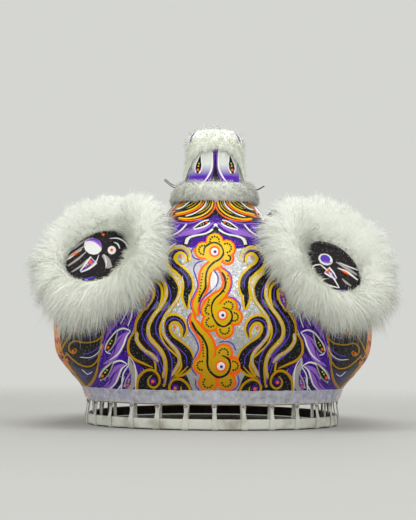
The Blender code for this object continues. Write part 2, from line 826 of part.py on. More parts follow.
def make_ear_fur(name, side):
    """The fur round an ear, a thick ring of locks sewn over the leaf's edge. Near the root it passes only
    behind the ear's arm, knuckle and pin."""
    frame = ear_frame(side)
    root = ear_root()
    heading = math.atan2(root.y, root.x)
    pocket = math.radians(EAR_POCKET_DEG)
    free = np.linspace(heading + pocket * 2.2, heading + 2 * math.pi - pocket * 2.2, EAR_LOCKS * 2)
    stages = [(heading + pocket * k, "behind") for k in (-1, 0, 1)]
    stages += [(heading + pocket * 1.6, "beside"), *((turn, "round") for turn in free)]
    stages += [(heading - pocket * 1.6, "beside")]
    over_pin = KNUCKLE_HEIGHT / 2 + PIN_HEAD_HEIGHT + LOOSE_GAP * 4
    sections = []
    for k, (turn, stage) in enumerate(stages):
        ray = Vector((math.cos(turn), math.sin(turn), 0))
        edge = leaf_radius(turn)
        lock = 1.08 if k % 2 else 0.93
        reach = EAR_FUR_LENGTH * lock * (1.0 + EAR_FUR_HANG * max(-math.sin(turn), 0.0) ** 2)
        loft = EAR_FUR_LOFT * (2 - lock)
        window = Vector((EAR_WINDOW[0] * ray.x, EAR_WINDOW[1] * ray.y - EAR_WINDOW_DROP, 0))
        lip = window.length / edge
        gap = FACE_GAP
        tip = 1 + reach / edge
        outer = 1 + reach * 0.62 / edge
        back = [
            (lip, leaf_dish(lip) + gap),
            (lip * 0.98, leaf_dish(lip) + 0.010),
            ((lip + 1) / 2, loft * 0.85),
            (1.0, loft),
            (outer, loft * 0.68),
        ]
        if stage == "behind":
            front = [(tip, over_pin + 0.004), (outer, over_pin), (1.06, over_pin), (1.0, over_pin)]
            front += [(0.94, over_pin), (0.88, over_pin)]
        elif stage == "beside":
            front = [(tip, loft * 0.12), (outer, -EAR_FUR_DEPTH * 0.3), (1.10, -EAR_FUR_DEPTH * 0.3)]
            front += [(1.05, -EAR_FUR_DEPTH * 0.2), (1.04, -EAR_WALL - gap), (1.03, gap * 2)]
        else:
            front = [(tip, loft * 0.12), (outer, -EAR_FUR_DEPTH * 0.8), (0.94, -EAR_FUR_DEPTH)]
            front += [(0.84, leaf_dish(0.84) - EAR_WALL - gap * 2), (1 + gap * 1.5 / edge, -EAR_WALL - gap)]
            front += [(1 + gap * 1.5 / edge, gap)]
        profile = back + front + [(0.80, leaf_dish(0.80) + gap * 1.2)]
        section = []
        for share, up in profile:
            flat = window if share == lip else ray * edge * share
            section.append(frame @ Vector((flat.x, flat.y, up)))
        sections.append(section)
    turns_about(swept(name, sections, "white_fur", loop=True), frame @ root)


def boss(name, place, outline, height, finish, gap=BOSS_GAP, rings=3, spokes=18):
    """A solid that sits on the face of the shell. outline gives the sideways and upward reach at a turn,
    and height the stand-off at a share of that reach."""
    x0, z0 = place
    under, over = [], []
    for k in range(spokes):
        turn = 2 * math.pi * k / spokes
        across, up = outline(turn)
        low, high = [], []
        for ring in range(rings + 1):
            share = 1 - ring / rings
            x, z = x0 + across * share, z0 + up * share
            angle = front_angle(x, z)
            low.append(facet_point(angle, z, gap))
            high.append(facet_point(angle, z, gap + height(share)))
        under.append(low)
        over.append(high)
    return walled(name, under, over, finish, loop=True, pole=True)


def dome(top, edge=0.002):
    """A height rule for a boss: round in the middle, with a thin edge."""

    def rule(share):
        return edge + (top - edge) * math.sqrt(max(1 - share * share, 0.0))

    return rule


def make_eye(name, side):
    """The eyeball, a half ball on the face."""

    def outline(turn):
        return EYE_RADIUS * math.cos(turn), EYE_RADIUS * math.sin(turn)

    place = (side * EYE_SPREAD, EYE_HEIGHT)
    return boss(name, place, outline, dome(EYE_BULGE), "eye_enamel", gap=EYE_GAP)


def strip(name, route, width, loft, finish, gap=BOSS_GAP, locks=0.0):
    """A raised strip on the face of the shell along a route of (x, z), with tapered ends."""
    route = [Vector(p) for p in route]
    count = len(route)
    offsets = (-1.0, -0.40, 0.40, 1.0)
    fullness = (0.15, 1.0, 1.0, 0.15)
    under, over = [], []
    for k, here in enumerate(route):
        ahead = (route[min(k + 1, count - 1)] - route[max(k - 1, 0)]).normalized()
        across = Vector((-ahead.y, ahead.x))
        share = k / (count - 1)
        slim = math.sin(math.pi * (0.08 + 0.84 * share))
        lock = 1.0 + (locks if k % 2 else -locks)
        low, high = [], []
        for offset, full in zip(offsets, fullness):
            x, z = here + across * (offset * width / 2 * slim * lock)
            angle = front_angle(x, z)
            low.append(facet_point(angle, z, gap))
            high.append(facet_point(angle, z, gap + loft * full * slim * lock + 0.001))
        under.append(low)
        over.append(high)
    return walled(name, under, over, finish)


def arc_route(side, radius, start_deg, end_deg, count):
    """A route round an eye, from one angle above the level to another."""
    route = []
    for k in range(count):
        turn = math.radians(start_deg + (end_deg - start_deg) * k / (count - 1))
        x = side * (EYE_SPREAD + radius * math.cos(turn))
        route.append((x, EYE_HEIGHT + radius * math.sin(turn)))
    return route


def make_eyelid(name, side):
    """The rolled lid over the eye."""
    radius = EYE_RADIUS + LID_WIDTH / 2 + LOOSE_GAP * 4
    route = arc_route(side, radius, -8, 188, 14)
    return strip(name, route, LID_WIDTH, LID_BULGE, "painted_paper", gap=EYE_GAP)


def make_brow(name, side):
    """The fur brow above the lid, in locks."""
    radius = EYE_RADIUS + LID_WIDTH + BROW_WIDTH / 2 * 1.1 + LOOSE_GAP * 8
    route = arc_route(side, radius, 8, 150, 15)
    return strip(name, route, BROW_WIDTH, BROW_LOFT, "white_fur", gap=EYE_GAP, locks=0.08)


def make_nose():
    """The broad three-lobed nose above the lip."""

    def outline(turn):
        swell = 1.0 + 0.10 * math.cos(3 * (turn - math.pi / 2))
        return NOSE_HALF_WIDTH * math.cos(turn) * swell, NOSE_HALF_HEIGHT * math.sin(turn) * swell

    return boss("nose", (0.0, NOSE_HEIGHT), outline, dome(NOSE_BULGE, 0.003), "painted_paper")


def make_lip_fur():
    """The fur that trims the upper lip, laid on the shell just above the mouth's edge."""
    turns = np.radians(np.linspace(MOUTH_CORNER_DEG + 6, 360 - MOUTH_CORNER_DEG - 6, 25))
    offsets = (0.003, 0.25, 0.75, 1.0)
    fullness = (0.35, 1.0, 0.85, 0.15)
    under, over = [], []
    for k, turn in enumerate(turns):
        low = edge_height(turn)
        lock = 1.12 if k % 2 else 0.88
        heights = [low + 0.001 + LIP_FUR_WIDTH * share for share in offsets]
        under.append([facet_point(turn, z, BOSS_GAP) for z in heights])
        over.append(
            [
                facet_point(turn, z, BOSS_GAP + 0.001 + LIP_FUR_LOFT * full * lock)
                for z, full in zip(heights, fullness)
            ]
        )
    return walled("lip_fur", under, over, "white_fur")


def jaw_reaches():
    """Half width and front reach of the jaw's outer face."""
    width, _, front, _ = shell_section(SHELL_FOOT)
    return width - JAW_INSET, front - JAW_FRONT_INSET


def jaw_side_turn():
    """The angle from the jaw's middle line to its hinges, in its own plan curve."""
    _, front = jaw_reaches()
    share = JAW_HINGE_Y / front
    return math.acos(share ** (SECTION_POWER / 2))


def jaw_plan(turn, inset=0.0):
    """A point of the jaw's outer face in plan, at a turn from the middle of the front."""
    width, front = jaw_reaches()
    power = 2 / SECTION_POWER
    across = (width - inset) * signed_power(math.sin(turn), power)
    along = (front - inset) * signed_power(math.cos(turn), power)
    return Vector((across, MUZZLE_SHIFT + along, 0))


def jaw_profile(turn):
    """Lower and upper height of the jaw's wall: low arms that rise to the hinges, and a deep front."""
    share = min(abs(turn) / jaw_side_turn(), 1.0)
    back = share**3
    low = JAW_LOW + (JAW_HINGE_Z - JAW_SIDE_HEIGHT / 2 - JAW_LOW) * back
    high = JAW_LOW + JAW_FRONT_HEIGHT
    return low, high + (JAW_HINGE_Z + JAW_SIDE_HEIGHT / 2 - high) * back


def make_jaw():
    """The lower jaw: a bent wall with a floor, and an eye for the pin at each end."""
    reach = jaw_side_turn()
    sections = []
    for turn in np.linspace(-reach * 1.04, reach * 1.04, 19):
        low, high = jaw_profile(turn)
        section = []
        for inset, z in ((0, low), (0, high), (JAW_WALL, high), (JAW_WALL, low)):
            place = jaw_plan(turn, inset)
            place.z = z
            section.append(place)
        sections.append(section)
    jaw = swept("jaw", sections, "painted_paper")
    floor_turns = np.linspace(-reach * 0.62, reach * 0.62, 9)
    rim = [jaw_plan(turn, JAW_WALL / 2) for turn in floor_turns]
    plates = []
    for z in (JAW_LOW + 0.004, JAW_LOW + 0.008):
        plates.append([Vector((p.x, p.y, z)) for p in rim])
    floor = swept("jaw_floor", plates, "painted_paper")
    bores = []
    for side in (-1, 1):
        frame = jaw_hinge_frame(side)
        radius = PIN_RADIUS + PIN_CLEARANCE
        bores.append(turned(f"jaw_bore_{side}", ((radius, -0.02), (radius, 0.02)), frame, "painted_paper"))
    turns_about(jaw, jaw_hinge())
    join_all(jaw, [floor])
    cut_all(jaw, bores)


def jaw_hinge():
    """The middle of the axis that the jaw turns on."""
    return Vector((0, MUZZLE_SHIFT + JAW_HINGE_Y, JAW_HINGE_Z))


def jaw_hinge_frame(side):
    """A frame at a jaw hinge whose Z runs outwards along the hinge's axis."""
    wall = jaw_plan(side * jaw_side_turn(), JAW_WALL / 2)
    frame = Matrix.Rotation(side * math.pi / 2, 4, "Y")
    frame.translation = jaw_hinge() + Vector((wall.x, 0, 0))
    return frame


def make_jaw_pin(name, side):
    """The plain pin on the inside of the shell's wall that the jaw's arm turns on."""
    frame = jaw_hinge_frame(side)
    wall = 0.0
    while not any(outside_shell(frame @ place) for place in rim_of_pin(wall)):
        wall += 0.0002
    arm = JAW_WALL / 2 + LOOSE_GAP + PIN_HEAD_RADIUS * JAW_FLARE
    profile = (
        (PIN_HEAD_RADIUS, wall - SHELL_WALL - SEAT_GAP / 2),
        (PIN_HEAD_RADIUS, arm),
        (PIN_RADIUS, arm),
        (PIN_RADIUS, -arm),
        (PIN_HEAD_RADIUS, -arm),
        (PIN_HEAD_RADIUS, -arm - PIN_HEAD_HEIGHT),
    )
    return turned(name, profile, frame, "steel_wire")


def make_jaw_fur():
    """The fur beard round the front of the jaw, in locks."""
    reach = math.radians(JAW_FUR_REACH_DEG)
    sections = []
    for k, turn in enumerate(np.linspace(-reach, reach, 21)):
        low, high = jaw_profile(turn)
        lock = 1.12 if k % 2 else 0.88
        gap = -LOOSE_GAP * 1.5
        loft = -JAW_FUR_LOFT * lock
        section = []
        for inset, z in (
            (gap, low),
            (gap, high),
            (loft * 0.5, high),
            (loft, (low + high) / 2),
            (loft * 0.9, low - 0.006 * lock),
            (loft * 0.3, low - 0.010 * lock),
        ):
            place = jaw_plan(turn, inset)
            place.z = z
            section.append(place)
        sections.append(section)
    turns_about(swept("jaw_fur", sections, "white_fur"), jaw_hinge())


def main():
    clear_scene()
    make_shell()
    make_edge_tape()
    make_hoop()
    make_cane()
    for number, angle in enumerate(tie_angles(), start=1):
        make_tie(f"tie_{number:02d}", angle)
    make_horn()
    make_collar()
    make_hood()
    make_nose()
    make_lip_fur()
    make_jaw()
    make_jaw_fur()
    for side, word in ((-1, "left"), (1, "right")):
        make_wire(f"horn_wire_{word}", side)
        make_ear(f"ear_{word}", side)
        make_ear_pin(f"ear_pin_{word}", side)
        make_ear_fur(f"ear_fur_{word}", side)
        make_eye(f"eye_{word}", side)
        make_eyelid(f"eyelid_{word}", side)
        make_brow(f"brow_fur_{word}", side)
        make_jaw_pin(f"jaw_pin_{word}", side)


main()
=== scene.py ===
# A lion dance head, seen from behind: a lacquered paper shell tied to a wrapped hoop, with a horn,
# two furred ears and a jaw. Metres, +Z up. The lion looks along +Y, so its back is towards -Y.
import math

import bpy
import numpy as np
from mathutils import Matrix, Vector
from mathutils.bvhtree import BVHTree
from mathutils.geometry import delaunay_2d_cdt


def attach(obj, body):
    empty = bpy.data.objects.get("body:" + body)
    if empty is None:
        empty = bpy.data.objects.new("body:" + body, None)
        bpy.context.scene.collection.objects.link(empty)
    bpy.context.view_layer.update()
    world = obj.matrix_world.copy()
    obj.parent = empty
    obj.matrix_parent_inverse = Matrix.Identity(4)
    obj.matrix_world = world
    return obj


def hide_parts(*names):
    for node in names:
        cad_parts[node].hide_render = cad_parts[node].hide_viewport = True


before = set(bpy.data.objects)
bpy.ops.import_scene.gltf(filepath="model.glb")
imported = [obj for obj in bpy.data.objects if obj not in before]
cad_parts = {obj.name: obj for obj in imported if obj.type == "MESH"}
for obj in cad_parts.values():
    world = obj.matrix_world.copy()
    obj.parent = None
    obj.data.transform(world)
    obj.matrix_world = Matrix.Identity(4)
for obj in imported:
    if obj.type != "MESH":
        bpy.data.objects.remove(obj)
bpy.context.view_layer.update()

# Camera and studio
# The camera stands 2.9 m behind the head, a little to its left and below its middle, and looks slightly
# up. Two broad soft lights hang above and beside it, and the floor and the room are pale and plain.
LENS_PIXELS = 1430.0
CAMERA_DISTANCE = 2.86
CAMERA_HEIGHT = 0.175
PIVOT_Y = -0.040
VIEW_CENTRE = (213.5, 260.0)

camera = bpy.data.objects.new("camera", bpy.data.cameras.new("camera"))
bpy.context.scene.collection.objects.link(camera)
bpy.context.scene.camera = camera
camera.data.sensor_width = 36.0
camera.data.sensor_fit = "HORIZONTAL"
camera.data.lens = 36.0 * LENS_PIXELS / 416
camera.data.shift_x = (208 - VIEW_CENTRE[0]) / 416
camera_turn = Matrix.Rotation(math.radians(-1.2), 4, "Z")
camera.matrix_world = (
    Matrix.Translation((0, PIVOT_Y, CAMERA_HEIGHT))
    @ camera_turn
    @ Matrix.Translation((0, -CAMERA_DISTANCE, 0))
    @ Matrix.Rotation(math.radians(93.0), 4, "X")
    @ Matrix.Rotation(math.radians(0.5), 4, "Z")
)

floor_mesh = bpy.data.meshes.new("floor")
floor_ring = [(2.4 * math.cos(math.tau * k / 64), 2.4 * math.sin(math.tau * k / 64), 0) for k in range(64)]
floor_mesh.from_pydata(floor_ring, [], [list(range(64))])
floor = bpy.data.objects.new("floor", floor_mesh)
bpy.context.scene.collection.objects.link(floor)
floor_finish = bpy.data.materials.new("pale_floor")
floor_finish.use_nodes = True
floor_shader = floor_finish.node_tree.nodes["Principled BSDF"]
floor_shader.inputs["Base Color"].default_value = (0.52, 0.52, 0.50, 1)
floor_shader.inputs["Roughness"].default_value = 0.9
floor_shader.inputs["Specular IOR Level"].default_value = 0.1
floor_place = floor_finish.node_tree.nodes.new("ShaderNodeTexCoord").outputs["Object"]
floor_reach = floor_finish.node_tree.nodes.new("ShaderNodeVectorMath")
floor_reach.operation = "LENGTH"
floor_fade = floor_finish.node_tree.nodes.new("ShaderNodeMapRange")
floor_fade.interpolation_type = "SMOOTHSTEP"
for label, value in (("From Min", 0.8), ("From Max", 2.3), ("To Min", 1.0), ("To Max", 0.0)):
    floor_fade.inputs[label].default_value = value
floor_finish.node_tree.links.new(floor_place, floor_reach.inputs[0])
floor_finish.node_tree.links.new(floor_reach.outputs["Value"], floor_fade.inputs["Value"])
floor_finish.node_tree.links.new(floor_fade.outputs["Result"], floor_shader.inputs["Alpha"])
floor_mesh.materials.append(floor_finish)

room = bpy.data.worlds.new("pale_room")
room.use_nodes = True
room.node_tree.nodes["Background"].inputs["Color"].default_value = (0.80, 0.81, 0.775, 1)
room.node_tree.nodes["Background"].inputs["Strength"].default_value = 0.83
bpy.context.scene.world = room
bpy.context.scene.view_settings.view_transform = "Standard"

for light_name, place, size, power in (
    ("light_left", (-1.5, -2.3, 1.7), 0.7, 13.0),
    ("light_right", (1.5, -2.3, 1.7), 0.7, 11.0),
    ("light_top", (0.0, -0.9, 2.4), 1.4, 20.0),
    ("light_front", (0.6, 2.6, 1.6), 1.4, 16.0),
):
    lamp = bpy.data.objects.new(light_name, bpy.data.lights.new(light_name, "AREA"))
    lamp.data.shape = "DISK"
    lamp.data.size = size
    lamp.data.energy = power
    lamp.location = place
    lamp.rotation_euler = (Vector((0, 0, 0.3)) - Vector(place)).to_track_quat("-Z", "Y").to_euler()
    bpy.context.scene.collection.objects.link(lamp)

# Shell
# One wall of papier-mache over a bamboo frame, 2.5 mm thick, with slits for the ties in its lower edge and
# the mouth as an arch in its front. Outside it is covered with silver glitter paper and varnished.
SHELL_HALF_WIDTH = 0.314
SHELL_BACK_LENGTH = 0.276
SHELL_FRONT_LENGTH = 0.345
SHELL_WALL = 0.0025
SHELL_FOOT = 0.049
NECK_TOP = 0.462
SECTION_POWER = 2.2
LIP_HEIGHT = 0.140
MOUTH_CORNER_DEG = 122.0
MOUTH_CROWN_DEG = 158.0
SHELL_SECTIONS = np.array([
    # height  width  back   front  waist, as shares of the sizes above
    (0.000, 0.793, 0.850, 0.900, 0.000),
    (0.063, 0.826, 0.890, 0.955, 0.000),
    (0.121, 0.892, 0.938, 0.985, 0.000),
    (0.208, 0.978, 0.980, 1.000, 0.000),
    (0.300, 1.000, 1.000, 0.985, 0.000),
    (0.392, 0.990, 0.998, 0.935, 0.000),
    (0.475, 0.925, 0.968, 0.855, 0.000),
    (0.567, 0.800, 0.898, 0.735, 0.004),
    (0.663, 0.648, 0.796, 0.585, 0.020),
    (0.760, 0.475, 0.668, 0.425, 0.055),
    (0.833, 0.365, 0.556, 0.300, 0.090),
    (0.886, 0.296, 0.476, 0.210, 0.114),
    (0.954, 0.236, 0.402, 0.118, 0.136),
    (1.000, 0.210, 0.364, 0.060, 0.145),
])


def smooth_table(table, at):
    """Rows of a table at values of its first column, on smooth curves through its rows."""
    steps = table[:, 0]
    at = np.clip(np.asarray(at, float), steps[0], steps[-1])
    k = np.clip(np.searchsorted(steps, at, side="right") - 1, 0, len(steps) - 2)
    slopes = np.gradient(table[:, 1:], steps, axis=0)
    span = (steps[k + 1] - steps[k])[..., None]
    t = (at - steps[k])[..., None] / span
    return (
        (1 + 2 * t) * (1 - t) ** 2 * table[k, 1:]
        + t * (1 - t) ** 2 * span * slopes[k]
        + t * t * (3 - 2 * t) * table[k + 1, 1:]
        + t * t * (t - 1) * span * slopes[k + 1]
    )


def shell_section(z):
    """Half width, back and front length and place along Y of the shell's level sections at heights."""
    rows = smooth_table(SHELL_SECTIONS, (np.asarray(z, float) - SHELL_FOOT) / (NECK_TOP - SHELL_FOOT))
    waist = rows[..., 3] * SHELL_BACK_LENGTH
    return (
        rows[..., 0] * SHELL_HALF_WIDTH,
        rows[..., 1] * SHELL_BACK_LENGTH - waist,
        rows[..., 2] * SHELL_FRONT_LENGTH + waist,
        PIVOT_Y - waist,
    )


def oval(section, angle, z):
    """Points of level sections. An angle runs from the back through the lion's right side, at +X."""
    width, back, front, middle = section
    sine, cosine = np.sin(angle), np.cos(angle)
    across = width * np.sign(sine) * np.abs(sine) ** (2 / SECTION_POWER)
    along = -np.sign(cosine) * np.abs(cosine) ** (2 / SECTION_POWER)
    along = middle + along * np.where(along > 0, front, back)
    return np.stack(np.broadcast_arrays(across, along, z), axis=-1).astype(float)


def outward(surface, angle, z):
    """Outward normals of a surface that is given as a function of angle and height."""
    round_it = surface(angle + 0.01, z) - surface(angle - 0.01, z)
    up_it = surface(angle, z + 0.002) - surface(angle, z - 0.002)
    normal = np.cross(round_it, up_it)
    return normal / np.linalg.norm(normal, axis=-1, keepdims=True)


def bare_shell(angle, z):
    return oval(shell_section(z), angle, z)


def on_shell(angle, z, lift=0.0):
    """Points on the shell's outer face, which is a little uneven between the canes, or lifted off it."""
    angle, z = np.broadcast_arrays(np.asarray(angle, float), np.asarray(z, float))
    uneven = 0.0006 * np.sin(9 * angle + 31 * z) * np.sin(52 * z - 4 * angle) - 0.0004 * np.cos(14 * angle)
    fade = np.clip((z - SHELL_FOOT) / 0.04, 0, 1) * np.clip((NECK_TOP - z) / 0.04, 0, 1)
    place = bare_shell(angle, z) + outward(bare_shell, angle, z) * (uneven * fade + lift)[..., None]
    place[..., 2] = np.where(lift == 0.0, z, place[..., 2])
    return place


def edge_height(angle):
    """Height of the shell's lower edge: level at the back and sides, an arch over the mouth."""
    turn = np.degrees(np.abs(np.arctan2(np.sin(angle), np.cos(angle))))
    t = np.clip((turn - MOUTH_CORNER_DEG) / (MOUTH_CROWN_DEG - MOUTH_CORNER_DEG), 0, 1)
    return SHELL_FOOT + (LIP_HEIGHT - SHELL_FOOT) * t * t * (3 - 2 * t)


TIES_A_SIDE = 10
TIE_REACH = math.radians(116.75)
NOTCH_WIDTH = 0.0125
NOTCH_HEIGHT = 0.0140
foot_angles = np.linspace(0.0, TIE_REACH, 2400)
foot_steps = np.linalg.norm(np.diff(bare_shell(foot_angles, np.full(2400, SHELL_FOOT)), axis=0), axis=1)
foot_lengths = np.concatenate([[0.0], np.cumsum(foot_steps)])
tie_marks = np.interp(np.linspace(0, foot_lengths[-1], TIES_A_SIDE + 1)[1:], foot_lengths, foot_angles)
tie_angles = np.concatenate([-tie_marks[::-1], [0.0], tie_marks])
shell_columns, is_notch = [], []
for tie, following in zip(tie_angles, [*tie_angles[1:], tie_angles[0] + math.tau]):
    per_metre = (foot_angles[1] - foot_angles[0]) / np.interp(abs(tie), foot_angles[1:], foot_steps)
    half_notch = NOTCH_WIDTH / 2 * per_metre
    pieces = 12 if following < math.pi / 1.4 else 110
    shell_columns += [tie - half_notch, tie]
    is_notch += [True, True]
    shell_columns += list(np.linspace(tie + half_notch, following - half_notch, pieces)[:-1])
    is_notch += [False] * (pieces - 1)
shell_columns = np.array(shell_columns)
shell_low = edge_height(shell_columns)
shell_heights = np.concatenate([
    shell_low[:, None] + np.array([0.0, NOTCH_HEIGHT / 2]),
    shell_low[:, None] + NOTCH_HEIGHT + (NECK_TOP - shell_low - NOTCH_HEIGHT)[:, None] * np.linspace(0, 1, 60),
], axis=1)
shell_outside = on_shell(shell_columns[:, None], shell_heights)
shell_inside = on_shell(shell_columns[:, None], shell_heights, np.float64(-SHELL_WALL))
shell_inside[..., 2] = shell_heights


def grid_faces(columns, rows, loop=True, first=0):
    """Faces of a grid of points that was flattened column by column."""
    spans = columns if loop else columns - 1
    here, row = np.meshgrid(np.arange(spans), np.arange(rows - 1), indexing="ij")
    beside = (here + 1) % columns
    corners = [here * rows + row, beside * rows + row, beside * rows + row + 1, here * rows + row + 1]
    return (np.stack(corners, axis=-1).reshape(-1, 4) + first).tolist()


def add_mesh(name, corners, faces, finishes, body, picks=None, crease=40.0):
    """A named mesh piece that rides on a body, in one finish or in one picked for each face."""
    mesh = bpy.data.meshes.new(name)
    mesh.from_pydata(np.asarray(corners, float).reshape(-1, 3).tolist(), [], faces)
    for finish in finishes if isinstance(finishes, list) else [finishes]:
        mesh.materials.append(finish)
    if picks is not None:
        mesh.polygons.foreach_set("material_index", np.asarray(picks, np.int32))
    mesh.shade_smooth()
    mesh.set_sharp_from_angle(angle=math.radians(crease))
    made = bpy.data.objects.new(name, mesh)
    bpy.context.scene.collection.objects.link(made)
    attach(made, body)
    return made


def new_group(name, inputs, outputs):
    """An empty shader node group with named number inputs and the outputs given as (name, kind)."""
    group = bpy.data.node_groups.new(name, "ShaderNodeTree")
    for label, value in inputs:
        group.interface.new_socket(label, in_out="INPUT", socket_type="NodeSocketFloat").default_value = value
    for label, kind in outputs:
        group.interface.new_socket(label, in_out="OUTPUT", socket_type="NodeSocket" + kind)
    return group, group.nodes.new("NodeGroupInput").outputs, group.nodes.new("NodeGroupOutput").inputs


def node(tree, kind, links=(), **settings):
    """A node with its settings, and its inputs set to values or linked from other sockets."""
    made = tree.nodes.new("ShaderNode" + kind)
    for key, value in settings.items():
        setattr(made, key, value)
    for key, value in dict(links).items():
        if isinstance(value, bpy.types.NodeSocket):
            tree.links.new(value, made.inputs[key])
        else:
            made.inputs[key].default_value = value
    return made


# Glitter paper: tiny flakes that each tilt their own way, some of them bright
glitter, given, result = new_group(
    "glitter_flakes",
    (("Flakes per metre", 900.0), ("Tilt", 0.5), ("Share bright", 0.3)),
    (("Tilted", "Vector"), ("Bright", "Float")),
)
place = node(glitter, "TexCoord").outputs["Object"]
cells = node(glitter, "TexVoronoi", {"Vector": place, "Scale": given["Flakes per metre"]})
spread = node(glitter, "VectorMath", {0: cells.outputs["Color"], 1: (0.5, 0.5, 0.5)}, operation="SUBTRACT")
leaning = node(glitter, "VectorMath", {0: spread.outputs[0], "Scale": given["Tilt"]}, operation="SCALE")
facing = node(glitter, "NewGeometry").outputs["Normal"]
turned = node(glitter, "VectorMath", {0: facing, 1: leaning.outputs[0]}, operation="ADD")
level = node(glitter, "VectorMath", {0: turned.outputs[0]}, operation="NORMALIZE")
channel = node(glitter, "SeparateColor", {"Color": cells.outputs["Color"]})
bright = node(glitter, "Math", {0: channel.outputs["Red"], 1: given["Share bright"]}, operation="LESS_THAN")
glitter.links.new(level.outputs[0], result["Tilted"])
glitter.links.new(bright.outputs[0], result["Bright"])

# Brushed coat: the slow waves of thick varnish over paper, and streaks of thin paint
varnish, given, result = new_group(
    "brushed_varnish",
    (("Waves per metre", 55.0), ("Streaks per metre", 320.0)),
    (("Height", "Float"), ("Thin paint", "Float")),
)
place = node(varnish, "TexCoord").outputs["Object"]
waves = node(varnish, "TexNoise", {"Vector": place, "Scale": given["Waves per metre"], "Detail": 3.0})
streaks = node(varnish, "TexNoise", {"Vector": place, "Scale": given["Streaks per metre"], "Detail": 2.0})
varnish.links.new(waves.outputs["Fac"], result["Height"])
varnish.links.new(streaks.outputs["Fac"], result["Thin paint"])


def lacquer(name, colour, flakes=0.0, tilt=0.35, metal=0.0, roughness=0.42, thin=0.12, coat=0.22, wavy=0.0016,
            fade=None):
    """A varnished paint over glitter paper, whose flakes shine through it by the share given. fade is a second
    colour below a height, with the heights where it is full and where it ends."""
    finish = bpy.data.materials.new(name)
    finish.use_nodes = True
    tree = finish.node_tree
    shader = tree.nodes["Principled BSDF"]
    flake = node(tree, "Group", node_tree=glitter)
    flake.inputs["Tilt"].default_value = tilt
    flake.inputs["Share bright"].default_value = flakes
    brushed = node(tree, "Group", node_tree=varnish)
    darker = [c * (1 - thin) for c in colour] + [1]
    shade = node(tree, "Mix", {0: brushed.outputs["Thin paint"], 6: (*colour, 1), 7: darker}, data_type="RGBA")
    lighter = [c * 0.6 + 0.22 for c in colour] + [1]
    if fade:
        rise = node(tree, "SeparateXYZ", {"Vector": node(tree, "TexCoord").outputs["Object"]}).outputs["Z"]
        share = node(tree, "MapRange", {"Value": rise, "From Min": fade[1], "From Max": fade[2]})
        shade = node(tree, "Mix", {0: share.outputs["Result"], 6: (*fade[0], 1), 7: shade.outputs[2]}, data_type="RGBA")
    spark = node(tree, "Mix", {0: flake.outputs["Bright"], 6: shade.outputs[2], 7: lighter}, data_type="RGBA")
    tree.links.new(spark.outputs[2], shader.inputs["Base Color"])
    shine = node(tree, "MapRange", {"Value": flake.outputs["Bright"], "To Min": metal, "To Max": max(metal, 0.9)})
    if flakes:
        tree.links.new(shine.outputs["Result"], shader.inputs["Metallic"])
    else:
        shader.inputs["Metallic"].default_value = metal
    swell = {"Height": brushed.outputs["Height"], "Distance": wavy, "Strength": 1.0}
    if flakes:
        swell["Normal"] = flake.outputs["Tilted"]
    tree.links.new(node(tree, "Bump", swell).outputs[0], shader.inputs["Normal"])
    shader.inputs["Roughness"].default_value = roughness
    shader.inputs["Coat Weight"].default_value = coat
    shader.inputs["Coat Roughness"].default_value = 0.05
    shader.inputs["Specular IOR Level"].default_value = 0.5 if metal else 0.06
    return finish


silver = lacquer("silver_glitter", (0.50, 0.50, 0.50), flakes=0.45, tilt=0.75, metal=0.5, roughness=0.30, thin=0.5)
black = lacquer("black_lacquer", (0.004, 0.003, 0.005), flakes=0.03, tilt=0.5, coat=0.3)
# the yellow gold is painted darker towards the shell's foot, as painted shade
gold = lacquer("gold_yellow", (0.84, 0.57, 0.001), fade=((0.52, 0.28, 0.001), 0.08, 0.34))
ochre = lacquer("gold_ochre", (0.54, 0.27, 0.001))
old_gold = lacquer("old_gold", (0.46, 0.23, 0.003))
orange = lacquer("bright_orange", (1.0, 0.130, 0.001))
violet = lacquer("blue_violet", (0.110, 0.050, 0.520))
purple = lacquer("deep_purple", (0.055, 0.004, 0.300), flakes=0.04)
lilac = lacquer("lilac", (0.330, 0.140, 0.620))
plum = lacquer("soft_plum", (0.150, 0.045, 0.380))
white = lacquer("white_line", (0.84, 0.84, 0.82))
grey = lacquer("warm_grey", (0.42, 0.38, 0.37))
lemon = lacquer("lemon_dot", (0.86, 0.80, 0.010))

kraft = bpy.data.materials.new("brown_paper_inside")
kraft.use_nodes = True
kraft_shader = kraft.node_tree.nodes["Principled BSDF"]
kraft_place = node(kraft.node_tree, "TexCoord").outputs["Object"]
kraft_fibre = node(kraft.node_tree, "TexNoise", {"Vector": kraft_place, "Scale": 140.0, "Detail": 5.0})
kraft_shade = node(
    kraft.node_tree, "Mix",
    {0: kraft_fibre.outputs["Fac"], 6: (0.060, 0.040, 0.026, 1), 7: (0.125, 0.088, 0.058, 1)}, data_type="RGBA",
)
kraft.node_tree.links.new(kraft_shade.outputs[2], kraft_shader.inputs["Base Color"])
kraft_bump = node(kraft.node_tree, "Bump", {"Height": kraft_fibre.outputs["Fac"], "Distance": 0.0012})
kraft.node_tree.links.new(kraft_bump.outputs[0], kraft_shader.inputs["Normal"])
kraft_shader.inputs["Roughness"].default_value = 0.85

